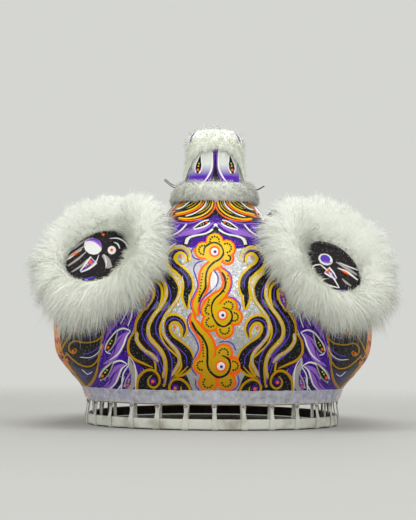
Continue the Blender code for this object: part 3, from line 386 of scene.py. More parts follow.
columns, rows = shell_heights.shape
inner_start = columns * rows
shell_faces, shell_picks = [], []
for i in range(columns):
    after = (i + 1) % columns
    lowest = 2 if is_notch[i] else 0
    for j in range(lowest, rows - 1):
        a, b, c, d = i * rows + j, after * rows + j, after * rows + j + 1, i * rows + j + 1
        shell_faces.append((a, b, c, d))
        shell_faces.append((d + inner_start, c + inner_start, b + inner_start, a + inner_start))
        shell_picks += [0, 1]
    a, b = i * rows + lowest, after * rows + lowest
    shell_faces.append((a, a + inner_start, b + inner_start, b))
    a, b = i * rows + rows - 1, after * rows + rows - 1
    shell_faces.append((b, b + inner_start, a + inner_start, a))
    shell_picks += [1, 1]
    if is_notch[i] != is_notch[i - 1]:
        for j in (0, 1):
            a = i * rows + j
            side = (a, a + 1, a + 1 + inner_start, a + inner_start)
            shell_faces.append(side if is_notch[i] else side[::-1])
            shell_picks.append(1)
shell = add_mesh(
    "papered_shell", np.concatenate([shell_outside.reshape(-1, 3), shell_inside.reshape(-1, 3)]),
    shell_faces, [silver, kraft], "head", shell_picks,
)
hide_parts("shell")

# Painting
# The ornament is brushed on by hand in raised acrylic lines: the black bodies of flames and petals first,
# then their coloured edges, then dots. Each stroke here is a thin crowned ribbon that lies on the shell.
shell_tree = BVHTree.FromPolygons(shell_outside.reshape(-1, 3).tolist(), grid_faces(columns, rows))


def from_photo(x, y):
    """The line of sight from the camera through a place of its picture, in pixels."""
    aim = Vector(((x - VIEW_CENTRE[0]) / LENS_PIXELS, (VIEW_CENTRE[1] - y) / LENS_PIXELS, -1))
    return camera.matrix_world.translation, camera.matrix_world.to_3x3() @ aim.normalized()


def from_round(x, y):
    """A level line at the shell from all round it, in steps of 2 mm: x round it from the back, and y up."""
    turn = x / 150
    aim = Vector((math.sin(turn), -math.cos(turn), 0))
    return Vector((0, PIVOT_Y, y / 500)) + aim, -aim


def from_ahead(x, y):
    """A level line at the face from the front, in millimetres sideways and up."""
    return Vector((x / 1000, 1.0, y / 1000)), Vector((0, -1, 0))


def open_coat(tree, sight, both=False):
    """A new coat of paint for one area: what it lies on, how its places are sighted, and if it is mirrored."""
    return {"tree": tree, "sight": sight, "both": both, "corners": [], "faces": [], "picks": [], "finishes": [],
            "count": 0}


def lay(coat, flat, faces, lifts, finish):
    """Puts a flat patch on the surface, and its mirror image where the coat is on both sides."""
    if finish not in coat["finishes"]:
        coat["finishes"].append(finish)
    pick = coat["finishes"].index(finish)
    coat["count"] += 1
    extra = 0.000012 * (coat["count"] % 12)
    for flip in (False, True) if coat["both"] else (False,):
        first = len(coat["corners"])
        for (x, y), lift in zip(flat, lifts):
            start, aim = coat["sight"](x, y)
            if flip:
                start, aim = Vector((-start.x, start.y, start.z)), Vector((-aim.x, aim.y, aim.z))
            place, normal, _, _ = coat["tree"].ray_cast(start, aim)
            if place is None or (normal.dot(aim) > 0 and coat["tree"] is shell_tree):
                reach = (Vector((0, PIVOT_Y, 0.25)) - start).dot(aim)
                place, normal, _, _ = coat["tree"].find_nearest(start + aim * (reach - 0.26))
            if normal.dot(aim) > 0:
                normal = -normal
            coat["corners"].append(place + normal * (lift + extra))
        for face in faces:
            face = [first + k for k in face]
            coat["faces"].append(face[::-1] if flip else face)
            coat["picks"].append(pick)


def smooth_route(places, step=1.75):
    """Evenly spaced places on a smooth curve through the given ones."""
    places = np.asarray(places, float)
    padded = np.concatenate([[2 * places[0] - places[1]], places, [2 * places[-1] - places[-2]]])
    fine = []
    for a, b, c, d in zip(padded, padded[1:], padded[2:], padded[3:]):
        t = np.linspace(0, 1, 12, endpoint=False)[:, None]
        fine.append(0.5 * (2 * b + (c - a) * t + (2 * a - 5 * b + 4 * c - d) * t**2 + (3 * b - a - 3 * c + d) * t**3))
    fine = np.concatenate([*fine, places[-1:]])
    lengths = np.concatenate([[0], np.cumsum(np.linalg.norm(np.diff(fine, axis=0), axis=1))])
    even = np.linspace(0, lengths[-1], max(int(lengths[-1] / step), 3) + 1)
    return np.stack([np.interp(even, lengths, fine[:, k]) for k in (0, 1)], axis=1)


def brush(coat, places, width, finish, level=1, grow=0.0, crown=0.0003):
    """A crowned stroke through the places. width is one number for a line with soft ends, or a list."""
    route = smooth_route(places)
    share = np.linspace(0, 1, len(route))
    if np.ndim(width):
        half = np.interp(share, np.linspace(0, 1, len(width)), width) / 2
        half = np.where(half > 0, half, 0.02) + grow / 2
    else:
        length = np.linalg.norm(np.diff(route, axis=0), axis=1).sum()
        ends = np.minimum(share, 1 - share) * length
        half = (width + grow) / 2 * np.sqrt(np.clip(ends / (width * 0.9), 0.02, 1))
    ahead = np.gradient(route, axis=0)
    ahead /= np.linalg.norm(ahead, axis=1, keepdims=True) + 1e-9
    across = np.stack([-ahead[:, 1], ahead[:, 0]], axis=1)
    flat = route[:, None] + across[:, None] * half[:, None, None] * np.array([-1, -0.55, 0, 0.55, 1])[:, None]
    base = 0.00018 + 0.00022 * level
    lifts = np.tile(base + crown * np.array([-0.5, 0.7, 1, 0.7, -0.5]), (len(route), 1))
    lay(coat, flat.reshape(-1, 2), grid_faces(len(route), 5, False), lifts.ravel(), finish)


def fill(coat, outline, finish, level=0, step=4.0):
    """A flat field of colour inside a smooth outline."""
    edge = smooth_route([*outline, outline[0]], 2.0)[:-1]
    low, high = edge.min(axis=0), edge.max(axis=0)
    grid = np.stack(np.meshgrid(np.arange(low[0], high[0], step), np.arange(low[1], high[1], step)), axis=-1)
    flat = [Vector(p) for p in edge] + [Vector(p) for p in grid.reshape(-1, 2)]
    ring = list(range(len(edge)))
    places, _, faces, _, _, _ = delaunay_2d_cdt(flat, [], [ring], 1, 1e-5)
    lay(coat, [(p.x, p.y) for p in places], faces, [0.00018 + 0.00022 * level] * len(places), finish)


def dot(coat, x, y, radius, finish, level=4, long=1.0, lean=0.0):
    """A drop of thick paint, round or drawn out along a lean from the level, in degrees."""
    turns = np.linspace(0, math.tau, 12, endpoint=False)
    c, s = math.cos(math.radians(lean)), math.sin(math.radians(lean))
    flat, lifts = [(x, y)], [0.00022 * level + 0.0007]
    for share, rise in ((0.65, 0.0006), (1.0, 0.0)):
        for turn in turns:
            a, b = radius * long * share * math.cos(turn), radius * share * math.sin(turn)
            flat.append((x + a * c - b * s, y + a * s + b * c))
            lifts.append(0.00022 * level + 0.0001 + rise)
    faces = [(0, 1 + k, 1 + (k + 1) % 12) for k in range(12)]
    faces += [(1 + k, 13 + k, 13 + (k + 1) % 12, 1 + (k + 1) % 12) for k in range(12)]
    lay(coat, flat, faces, lifts, finish)


def close_coat(coat, name, body):
    made = add_mesh(name, coat["corners"], coat["faces"], coat["finishes"], body, coat["picks"])
    return made


def drop(coat, tip, end, width, edge=None, inside=None, dots=True, level=3):
    """A teardrop: an edge, an inside and, in its round end, an orange dot with two small yellow ones."""
    tip, end = np.array(tip, float), np.array(end, float)
    swell = [0, 0.45, 0.8, 1.0, 0.95, 0.45]
    if edge:
        brush(coat, (tip, (tip + end) / 2, end), [w * width for w in swell], edge, level, grow=2.2)
    if inside:
        brush(coat, (tip, (tip + end) / 2, end), [w * width for w in swell], inside, level + 1)
    if dots:
        lean = math.degrees(math.atan2(end[1] - tip[1], end[0] - tip[0]))
        x, y = tip + (end - tip) * 0.83
        dot(coat, x, y, width * 0.22, orange, level + 2, 1.25, lean)
        for share in (0.62, 0.48):
            x, y = tip + (end - tip) * share
            dot(coat, x, y, width * 0.12, lemon, level + 2, 1.2, lean)


# Crown of the back
# Rows of feather lines sweep down and out from the horn's collar, over a band of purple petals.
crown = open_coat(shell_tree, from_photo, both=True)
fill(crown, ((217, 194), (217, 214), (208, 219), (190, 223), (172, 221), (152, 226), (158, 206), (172, 192)), black)
fill(crown, ((217, 214), (208, 219), (190, 222), (170, 221), (150, 224), (136, 238), (134, 250), (165, 246), (190, 247),
             (217, 249)), purple)
for route, width, finish in (
    (((215.6, 196), (215, 206), (210.5, 213.5), (203, 218), (190, 220.6), (177.5, 219)), 1.7, orange),
    (((213, 196), (212, 206), (207, 212.4), (199, 216.6), (188, 218.7), (178, 217.8)), 1.8, gold),
    (((210.6, 196), (209.6, 205), (204.5, 210.5), (198, 213.6)), 0.7, gold),
    (((208.8, 196), (207.6, 204), (202.4, 209.5), (196, 212.4)), 0.7, gold),
    (((206.6, 196), (205.6, 204), (200, 210), (193, 214), (185, 216.4)), 1.5, white),
    (((204.2, 196), (203.2, 203), (197.6, 208.5), (189, 212.8), (180, 214.8), (172.5, 216.5)), 1.7, orange),
    (((202, 196), (200.8, 202.5), (195.4, 207.6), (187.6, 211.2), (180, 213), (175, 214.2)), 2.0, gold),
    (((199, 196), (197.5, 201.8), (192.8, 206), (187, 208.6)), 0.7, gold),
    (((196.6, 196), (195, 201), (190.6, 204.6), (185.6, 207)), 0.7, gold),
    (((192.6, 196), (190.6, 200.4), (186.4, 204.2), (181.6, 207.6), (176, 209.4)), 1.6, white),
    (((189.4, 196), (185.6, 201), (180.6, 205.4), (177, 208.4)), 2.6, old_gold),
    (((187, 196), (181.4, 201.6), (176.2, 208), (171, 216)), 1.3, orange),
    (((203, 219.6), (190, 223.2), (178, 223), (168, 224)), 1.2, lilac),
):
    brush(crown, route, width * 0.84, finish, 1)
for route, widths, finish, level in (
    (((214, 222.6), (205, 227), (193, 231), (181, 233.4), (170, 238)), (1, 6, 8, 6, 2), lilac, 1),
    (((212, 221), (202, 222.6), (192, 228), (184, 232)), (1, 3, 3, 0.5), plum, 1),
    (((180, 224.6), (172, 230), (163, 235), (155, 240)), (1, 5, 6, 2), lilac, 1),
    (((172, 222.6), (163, 228), (156, 234)), (1, 4, 1), plum, 1),
    (((216.4, 224), (213.6, 228.6), (206, 233.6), (197, 235.4), (190.6, 237)), (3, 2, 1.6, 1.6, 2), white, 2),
    (((190.6, 237), (187.4, 239.6), (186, 244.4)), (2, 3.4, 3), white, 2),
    (((216.6, 229.4), (211.6, 233), (203, 236), (193.6, 238), (189.4, 242), (187, 247)), (4, 2, 1.4, 1.4, 1.6, 1.4), black, 2),
    (((192, 235), (187, 236.6), (184, 241), (183.6, 246.4), (187, 247)), (0.5, 1.1, 1.1, 1.1, 0.8), black, 2),
    (((186.6, 224), (183.4, 228), (177.4, 233), (168, 237), (158, 240)), (1.4, 1.5, 1.5, 1.2, 0.8), white, 2),
    (((188.6, 225.4), (184.6, 230), (178, 235), (168, 239.4)), (0.6, 1, 1, 0.5), black, 2),
    (((166, 227), (160, 232), (152, 236)), (0.8, 1.4, 0.8), white, 2),
):
    brush(crown, route, widths, finish, level)
drop(crown, (193.4, 229.2), (209.4, 221.6), 4.4, white, black)
drop(crown, (160, 233.4), (172.6, 226.2), 3.6, white, black)
fill(crown, ((217, 228.6), (213, 231.6), (205, 236.2), (195, 238.4), (190.6, 242.4), (188, 247), (200, 248.6),
             (217, 250)), purple, 0.5)
brush(crown, ((217.4, 227.6), (214.6, 231.2), (209, 234.6)), (6, 2.5, 0.5), black, 3)
close_coat(crown, "crown_feathers", "head")

# Middle of the back
# Three scalloped gold flowers with orange edges curl out of one winding stem, over silver glitter paper.
middle = open_coat(shell_tree, from_photo)
flowers = (
    ((214.6, 252), 4.6, ((214.6, 241.6, 8), (203.4, 250.4, 7.6), (226.6, 248.4, 7.8), (227.6, 258.6, 5))),
    ((222.4, 315), 4.6, ((228.4, 306.2, 7.6), (234, 317, 7), (224.6, 329.4, 7.8), (210.6, 322.4, 7.6), (209.6, 310, 7.6))),
    ((221, 366), 5, ((223.6, 353, 7.6), (233.6, 365.6, 7.6), (226.4, 381.6, 8), (208, 382.6, 8.2), (201.6, 365.4, 7.4))),
)
stems = (
    (((221, 262), (212.6, 265.6), (205.6, 273), (204, 284), (201, 293), (197, 301), (195.4, 308), (197.4, 316)),
     (7, 8, 8.6, 8, 7, 6, 4.5, 0)),
    (((219, 267.6), (225.4, 275), (227, 285), (223, 293), (216, 299), (210.6, 306), (211, 314)),
     (0.5, 4.5, 5.5, 6, 9, 12, 13)),
    (((192.6, 313), (193, 321), (199, 330), (206, 340), (208.4, 350), (206, 360), (207, 370), (213, 377)),
     (0.5, 5, 7, 9.5, 12, 13, 13, 12)),
)
for (x, y), eye, lobes in flowers:
    for cx, cy, radius in lobes:
        dot(middle, cx, cy, radius + 2.2, orange, 0)
        dot(middle, cx, cy, radius, gold, 2)
    dot(middle, x, y, 11.5, gold, 2)
for route, widths in stems:
    brush(middle, route, widths, orange, 0, grow=5.0)
    brush(middle, route, widths, gold, 2.4)
for line in (
    ((204, 254), (204.6, 248.6), (209, 244.6), (215, 243), (221, 246.4), (223.4, 253), (220, 259), (213, 263.6),
     (207.6, 270), (205.6, 279), (205.4, 288), (201.6, 295), (198, 303)),
    ((221.6, 272), (225, 278), (225.4, 286), (221.4, 293), (215, 299), (211.6, 306), (212.4, 315), (216.6, 323),
     (223, 326.6), (229.4, 323.4), (232.2, 316.6), (229.6, 310), (222, 307.4)),
    ((191.4, 321), (196, 330), (203, 338), (207, 347), (207.4, 357), (207.6, 366), (211.6, 373), (218.6, 377),
     (226, 374.6), (230.2, 367), (228.6, 359), (221.4, 355)),
):
    brush(middle, line, 2.3, black, 4)
for (x, y), eye, lobes in flowers:
    dot(middle, x, y, eye + 2.6, orange, 3.2)
    dot(middle, x, y, eye, white, 4.4)
    dot(middle, x + 0.4, y + 0.4, 2.0, purple, 5.4)
    for cx, cy, radius in lobes:
        bearing = math.atan2(cy - y, cx - x)
        for k in range(7):
            turn = bearing + math.radians(-96 + 32 * k)
            reach = radius * 0.58
            dot(middle, cx + reach * math.cos(turn), cy + reach * math.sin(turn), 1.0, black, 4.6)
for start, end, count in (((202.6, 274), (199, 298), 9), ((228, 276), (224, 292), 6), ((209, 300), (206.4, 309), 5),
                          ((202.4, 336), (203.4, 356), 8)):
    for k in range(count):
        share = k / (count - 1)
        dot(middle, start[0] + (end[0] - start[0]) * share, start[1] + (end[1] - start[1]) * share, 0.8, black, 4.6)
fill(middle, ((213, 271), (210.6, 279), (210.8, 288), (213.4, 291), (217, 284), (216.6, 276)), white, 1)
for k in range(6):
    dot(middle, 213 + 0.2 * k, 276 + 2.4 * k, 0.45, lemon, 3)
for line in (
    ((198.6, 245.4), (193, 248.4), (191.4, 253.6), (194.4, 258), (200.6, 260)),
    ((203.6, 260.6), (197, 263), (193.6, 269), (196, 277), (198, 286), (194, 295), (190.6, 303), (192, 311)),
    ((213.6, 270), (218, 277), (216, 286), (209, 293), (202.4, 299), (199.6, 306), (200.6, 314)),
    ((222, 268), (229.4, 273), (232, 281), (230.6, 289), (227.6, 295)),
    ((228, 296.4), (235, 299), (240, 305), (239.4, 311)),
    ((190.6, 313.4), (187.4, 320), (189, 329), (195, 338), (198.4, 347), (196, 355), (192, 362), (192, 369), (197, 376)),
    ((219, 342.4), (226.6, 341.4), (232.6, 344), (236, 351)),
    ((237.4, 375), (239, 382), (236, 388), (229, 391.6), (221, 391)),
    ((195.6, 379), (196, 386), (200, 391)),
):
    brush(middle, line, 1.3, violet, 1)
close_coat(middle, "centre_flowers", "head")

# Flames at both sides of the middle
# Black flames with hooked heads rise from scrolls at the lower edge. Each has a raised yellow edge and a
# blue violet line inside it, and holds a drop of gold in its hook.
flames = open_coat(shell_tree, from_photo, both=True)
fill(flames, ((160, 262), (172, 272), (179, 283), (178, 297), (171, 308), (164, 318), (163, 330), (168, 342), (176, 352),
              (183, 362), (186, 374), (190, 384), (192, 404), (136, 404), (137, 384), (144, 370), (130, 357),
              (129, 342), (134, 330), (138, 316), (148, 306), (152, 290), (150, 275)), black, 0)
hooks = (
    (((188, 262), (187.6, 254.6), (181.4, 249.6), (174.4, 251.6), (170.6, 258), (173.6, 265), (180.6, 270.6), (186.8, 278),
      (188.4, 287), (186, 297), (187.4, 309)), (1, 4, 5, 6.5, 7, 7.5, 8, 8.6, 8, 5.5, 0)),
    (((183, 337), (184.6, 328.6), (180.4, 320.6), (172.6, 318.4), (166.4, 323.4), (165.4, 332), (169.6, 340.6), (178, 347.6),
      (185.4, 355), (187.4, 363), (183, 371), (175.6, 376)), (1, 4, 5.6, 7, 8, 9, 10.5, 12, 12.5, 11, 6, 0)),
    (((141.4, 304), (140.4, 294.6), (144.4, 286.4), (151.6, 283.6), (157.6, 288), (158, 297), (154, 307), (147, 316),
      (142.4, 326), (143.4, 337), (150.4, 346), (157.6, 354), (161, 364), (160.6, 378), (158, 393)),
     (1, 4.5, 5.5, 6, 7, 8.5, 10, 11, 11, 10.5, 10, 9.5, 9, 8, 6)),
)
for route, widths in hooks:
    brush(flames, route, widths, gold, 1, grow=3.8)
    brush(flames, route, widths, black, 2)
    inner = smooth_route(route)
    brush(flames, inner[3:int(len(inner) * 0.86):5], 1.35, violet, 3)
for line in (
    ((154, 268), (159.6, 276), (165, 285), (166, 296), (160.6, 307), (153, 317), (148.4, 328), (150.6, 339), (158.6, 348),
     (164, 357), (165.4, 367), (163, 378)),
    ((189.6, 262), (189.4, 254), (183.4, 247.6), (174.6, 248), (167.6, 253), (165, 261), (168.6, 270.4), (175.6, 278.6),
     (180, 288), (178, 298.6), (171.6, 308), (165.4, 316.4), (162.6, 325.6), (164.4, 335), (170.6, 343.6),
     (177.4, 352), (179.6, 361), (176, 369), (171.4, 376)),
    ((137.6, 331.6), (137, 340), (143, 349), (151.6, 354.6), (158.6, 362)),
):
    brush(flames, line, 3.9, gold, 4)
    brush(flames, line, 1.7, silver, 5)
for line in (
    ((158.6, 270), (164, 279), (169.6, 289), (170.4, 299), (164.4, 310), (157.6, 320), (156, 331), (161, 341), (168, 350),
     (172, 361), (171.6, 374), (169, 386)),
    ((145.6, 333), (148, 341), (155, 349), (162, 357)),
    ((141, 349), (149, 356.6), (157.6, 363), (161, 373)),
    ((152.4, 352), (159.6, 360), (163.4, 371), (164, 384)),
):
    brush(flames, line, 1.3, violet, 3)
for line, widths in (
    (((147.6, 307.4), (140, 314), (136, 323), (135.6, 332)), (2, 2.4, 2.4, 2)),
    (((134.6, 332), (129.4, 340), (128.6, 351), (134, 358.6), (143, 363), (153, 367.4)), (1.5, 2.4, 2.6, 2.6, 2.4, 1)),
    (((137.2, 399), (136.8, 390), (138.6, 378), (145, 371), (153, 370), (159, 376), (159.4, 383), (154.6, 387.4),
      (149.2, 385), (148.4, 379.4), (152, 375)), (2.6, 2.8, 2.8, 2.8, 2.6, 2.6, 2.4, 2.4, 2.2, 2, 1)),
    (((191.4, 399), (190.6, 391), (187.4, 384), (180.4, 379), (173, 380), (169.4, 386), (171, 392), (176, 394), (180.6, 391),
      (181, 386)), (2.4, 2.6, 2.6, 2.6, 2.6, 2.6, 2.4, 2.2, 2, 1)),
    (((172, 378), (181, 373), (188, 366)), (0.6, 2.4, 1)),
):
    brush(flames, line, widths, ochre, 3.4)
fill(flames, ((137.8, 399), (138.4, 384), (141, 377.4), (146.6, 372), (153.6, 371.4), (160, 377), (163.6, 387),
              (169.6, 381.6), (176, 379.4), (184, 382), (189.4, 389), (190.6, 399)), black, 2.4, 3.0)
for x, y in ((153, 380.6), (175.4, 387.4)):
    dot(flames, x, y, 3.5, purple, 3.4)
    dot(flames, x, y + 0.4, 2.3, orange, 4)
dot(flames, 181, 258.4, 6.4, gold, 3)
dot(flames, 181.2, 258.8, 4.8, silver, 4, 1.15, 80)
dot(flames, 180.8, 257.4, 1.5, orange, 5)
drop(flames, (180.6, 339.6), (173.6, 324.4), 7.4, gold, silver)
drop(flames, (146, 309.6), (150.4, 290.6), 6.6, gold, plum)
for line in (((166, 251), (171, 246.6), (176.6, 243.6)), ((162, 262), (163, 256), (167, 249))):
    brush(flames, line, 1.2, white, 3)
for x, y, lean in ((184, 284, 0), (190, 300, 0)):
    brush(flames, ((x - 2, y - 10), (x - 0.5, y)), 0.7, white, 1)
close_coat(flames, "back_flames", "head")

# Petals at the sides of the back
# Purple ground with lilac paisley petals edged in white, black drops in them, and a grey flame at the foot.
petals = open_coat(shell_tree, from_photo, both=True)
fill(petals, ((150, 262), (149, 284), (140, 300), (136, 322), (129, 341), (130, 357), (143, 369), (137, 384), (136, 404),
              (98, 404), (91, 392), (99, 366), (102, 346), (107, 320), (112, 298), (128, 270)), purple, 0)
for route, widths, finish, level in (
    (((131, 268), (125, 290), (122, 306), (114, 322), (106, 338)), (3, 9, 10, 8, 1), lilac, 1),
    (((137, 290), (133, 308), (128, 320), (120, 328)), (3, 6, 5, 1), plum, 1),
    (((128, 332), (121, 340), (117.6, 350), (112, 359), (103.6, 364)), (2, 8, 9, 6, 1), lilac, 1.5),
    (((125, 364.6), (117.6, 369), (114, 378), (108.6, 386), (100, 389)), (2, 8, 10, 7, 1), lilac, 1.5),
    (((110, 388), (106, 396), (100, 402)), (2, 7, 2), lilac, 1),
    (((131, 280), (129.6, 296), (127, 311), (120.6, 324)), (0.6, 1.7, 1.7, 0.8), white, 3),
    (((137, 286), (133.4, 302), (131.6, 316), (128, 326)), (0.6, 1.7, 1.7, 0.8), white, 3),
    (((130.6, 331), (124, 328.4), (117, 331), (111, 338), (106.4, 346), (106.6, 352), (111, 353.4)),
     (0.8, 1.8, 1.8, 1.6, 1.5, 1.4, 0.8), white, 3),
    (((130.6, 331), (126.4, 337), (123.6, 345), (118, 354), (110, 360)), (0.8, 1.7, 1.7, 1.5, 0.6), white, 3),
    (((127.6, 364), (120.6, 360.6), (112.6, 363), (105, 369), (100.4, 376), (101.4, 381)),
     (0.8, 1.8, 1.8, 1.6, 1.4, 0.8), white, 3),
    (((127.6, 364), (122, 368.6), (118.6, 376.6), (115, 384), (107, 391)), (0.8, 1.7, 1.7, 1.5, 0.6), white, 3),
    (((128.6, 338), (126.4, 347), (121, 355.6)), (0.8, 3, 0.8), black, 1),
    (((123.6, 371), (121, 380), (114.6, 389)), (0.8, 3, 0.8), black, 1),
    (((113.6, 394), (120.6, 386), (124.6, 377)), (0.6, 1.4, 0.6), white, 3),
    (((123, 335.6), (116.4, 345), (113.6, 354), (108, 360)), (0.5, 1.5, 1.5, 0.5), purple, 3),
    (((119.6, 340), (113.6, 348.6), (110, 356)), (0.5, 1.2, 0.5), purple, 3),
    (((120, 368), (113.6, 375), (110, 383), (104, 388)), (0.5, 1.5, 1.5, 0.5), purple, 3),
    (((115, 372), (109, 380), (103, 385)), (0.5, 1.2, 0.5), purple, 3),
    (((126, 296), (120.6, 312), (113, 325)), (0.5, 1.5, 0.5), purple, 2.5),
    (((107, 336), (103.6, 346), (102, 356)), (0.5, 1.4, 0.5), lilac, 2.5),
    (((129, 356), (130, 364), (133.4, 371), (133, 380), (129, 389)), (0.6, 5, 8, 12, 13), grey, 1.5),
    (((129, 356), (133.4, 362), (136, 371), (136, 392)), (0.4, 1.2, 1.5, 1.3), white, 3),
    (((128.6, 357), (128.4, 365), (123.4, 374), (121.4, 390)), (0.4, 1.2, 1.5, 1.3), white, 3),
    (((141, 306), (136, 303), (133.6, 298)), (0.5, 1.4, 0.6), white, 3),
    (((146, 309.6), (140, 310.6), (136, 307)), (0.5, 1.4, 0.6), white, 3),
):
    brush(petals, route, widths, finish, level)
drop(petals, (120.4, 303), (111.6, 322), 5.6, grey, black)
drop(petals, (117.4, 331.6), (106.6, 350.6), 6.2, grey, black)
drop(petals, (113.6, 361.6), (100.6, 378.6), 6.6, grey, black)
drop(petals, (131.6, 372), (127, 387.4), 5.2, grey, plum)
close_coat(petals, "side_petals", "head")

# Cheeks
# Black ground with gold lines that end in small spirals, over a grey violet foot, and orange beyond them.
cheeks = open_coat(shell_tree, from_photo, both=True)
dusk = lacquer("dusk_violet", (0.045, 0.038, 0.085))
fill(cheeks, ((109, 300), (107, 318), (103, 332), (101, 345), (99, 355), (98, 366), (94, 378), (88, 387), (90, 397),
              (84, 397), (74, 374), (66, 362), (60, 352), (62, 330), (66, 316), (80, 300)), black, 0.8, 2.0)
fill(cheeks, ((69, 364), (78, 378), (88, 386), (95, 379), (98, 366), (90, 369), (80, 368)), dusk, 1.5, 2.0)
fill(cheeks, ((89, 386), (97, 376), (101, 366), (104, 380), (104, 404), (92, 404)), purple, 1.5, 2.0)
for line in (
    ((109, 304), (107, 318), (103, 332), (101, 345), (99, 355), (98, 366), (94, 378), (88, 386)),
    ((74, 318), (84, 322.6), (96, 321.6), (107, 316)),
    ((105, 333), (97, 340.6), (85, 342.6), (75, 341), (69.6, 345), (70, 351), (74.6, 353.4), (77, 350), (74, 348.4)),
    ((66, 352), (74, 360), (83, 365.6), (92, 365.6), (99, 358), (104, 345)),
    ((69, 353), (64.6, 357), (66, 361.6), (69.6, 360)),
    ((69, 364), (78, 378), (88, 386), (95, 379), (98.6, 367)),
    ((84, 318), (74, 330), (66, 342), (61, 352)),
    ((79, 335), (83.4, 331.6), (80.6, 327.4), (76, 329.6), (77, 334.6)),
):
    brush(cheeks, line, 1.5, old_gold, 3)
for line in (
    ((104, 326), (96, 334), (86, 336.6)), ((104, 340), (98, 348), (90, 353), (82, 354)),
    ((103, 349), (96, 356), (88, 360)), ((94, 312), (88, 316), (80, 314)), ((90, 371), (86, 377), (80, 374)),
):
    brush(cheeks, line, 1.1, violet, 2)
for line in (((103, 344), (98, 352.6), (90, 357.4), (80, 357)), ((82, 369), (88, 374), (93, 371))):
    brush(cheeks, line, 0.8, white, 3)
for x, y in ((79.6, 331), (73.6, 351), (67.6, 359.6)):
    dot(cheeks, x, y, 1.5, orange, 5)
close_coat(cheeks, "cheek_scrolls", "head")

# Sides towards the front
# The flames of the back go on round the sides to the mouth, with a band of petals and feather lines above.
flank = open_coat(shell_tree, from_round, both=True)
fill(flank, ((172, 24), (174, 60), (172, 110), (166, 150), (300, 150), (380, 150), (392, 90), (380, 60), (330, 24)),
     black, 0.6, 5.0)
fill(flank, ((182, 24), (182, 110), (176, 150), (212, 150), (216, 90), (212, 24)), orange, 0.9)
for row in range(15):
    y = 30 + 8 * row
    brush(flank, ((182, y), (190, y + 5), (197, y), (204, y + 5), (212, y)), 1.8, gold if row % 2 else black, 1.6)
for x in (181, 213):
    brush(flank, ((x, 24), (x + 1, 70), (x + 1, 110), (x - 4, 150)), 2.2, gold, 2.4)
fill(flank, ((150, 150), (146, 180), (300, 178), (400, 176), (392, 150)), purple, 0.6, 5.0)
fill(flank, ((150, 178), (150, 218), (260, 226), (300, 218), (330, 178)), black, 0.6, 3.6)
for k in range(6):
    x = 208 + 31 * k
    brush(flank, ((x - 10, 150), (x + 2, 158), (x + 14, 162), (x + 26, 174)), (1, 8, 9, 1), lilac, 1)
    brush(flank, ((x - 12, 152), (x, 161), (x + 12, 166), (x + 22, 177)), (0.6, 1.7, 1.7, 0.6), white, 2)
    drop(flank, (x - 4, 153), (x + 15, 165), 5.0, white, black)
for k in range(9):
    x = 150 + 15 * k
    brush(flank, ((x, 222), (x + 2, 208), (x + 10, 196), (x + 24, 184)), (1.0, 2.4, 2.4, 0.8), gold, 1)
    brush(flank, ((x + 5, 222), (x + 7, 209), (x + 15, 198), (x + 28, 187)), (0.8, 1.8, 1.8, 0.6), orange, 1)
    brush(flank, ((x + 9, 222), (x + 11, 211), (x + 19, 201)), (0.6, 1.3, 0.4), white, 1)
for x in (244, 296, 348):
    for route, widths in hooks:
        turned = [(x + 165 - a, (430 - b) * 0.90) for a, b in route]
        brush(flank, turned, widths, gold, 1, grow=3.6)
        brush(flank, turned, widths, black, 2)
        inner = smooth_route(turned)
        brush(flank, inner[3:int(len(inner) * 0.86):5], 1.3, violet, 3)
    drop(flank, (x - 8, 94), (x - 2, 110), 6.6, gold, silver)
    drop(flank, (x + 19, 108), (x + 14, 125), 6.0, gold, plum)
    brush(flank, ((x - 22, 148), (x - 25, 120), (x - 20, 96), (x - 26, 70), (x - 18, 44), (x - 22, 28)), 3.4, orange, 2)
    brush(flank, ((x - 22, 148), (x - 25, 120), (x - 20, 96), (x - 26, 70), (x - 18, 44), (x - 22, 28)), 1.3, white, 3)
close_coat(flank, "side_flames", "head")

# Tape over the lower edge
# A band of clear plastic tape, 25 mm wide, keeps the lower edge from fraying. It is milky with wear, a little
# creased, and lets the painted pattern show faintly through it.
TAPE_WIDTH = 0.0255
tape = bpy.data.materials.new("milky_tape")
tape.use_nodes = True
tape_shader = tape.node_tree.nodes["Principled BSDF"]
tape_place = node(tape.node_tree, "TexCoord").outputs["Object"]
tape_creases = node(tape.node_tree, "TexNoise", {"Vector": tape_place, "Scale": 90.0, "Detail": 3.0})
tape_milk = node(
    tape.node_tree, "MapRange", {"Value": tape_creases.outputs["Fac"], "From Min": 0.3, "From Max": 0.7, "To Min": 0.26, "To Max": 0.56},
)
tape.node_tree.links.new(tape_milk.outputs["Result"], tape_shader.inputs["Alpha"])
tape_bump = node(tape.node_tree, "Bump", {"Height": tape_creases.outputs["Fac"], "Distance": 0.002})
tape.node_tree.links.new(tape_bump.outputs[0], tape_shader.inputs["Normal"])
tape_shader.inputs["Base Color"].default_value = (0.86, 0.87, 0.97, 1)
tape_shader.inputs["Roughness"].default_value = 0.22
tape_shader.inputs["Coat Weight"].default_value = 1.0
last_notch = int(np.nonzero(is_notch)[0][-1]) + 2
tape_columns = np.linspace(shell_columns[0], shell_columns[last_notch - 1], 420)
tape_shares = np.linspace(0, 1, 9)
tape_top = TAPE_WIDTH + 0.0007 * np.sin(23 * tape_columns) * np.sin(61 * tape_columns)
tape_ripple = 0.00025 * np.sin(140 * tape_columns)[:, None] * np.sin(math.pi * tape_shares)
tape_points = [
    on_shell(tape_columns[:, None], SHELL_FOOT + tape_top[:, None] * tape_shares, lift + tape_ripple)
    for lift in (0.0016, 0.0020)
]
tape_ring = np.concatenate([tape_points[0], tape_points[1][:, ::-1]], axis=1)
tape_band = np.concatenate([tape_ring, tape_ring[:, :1]], axis=1)
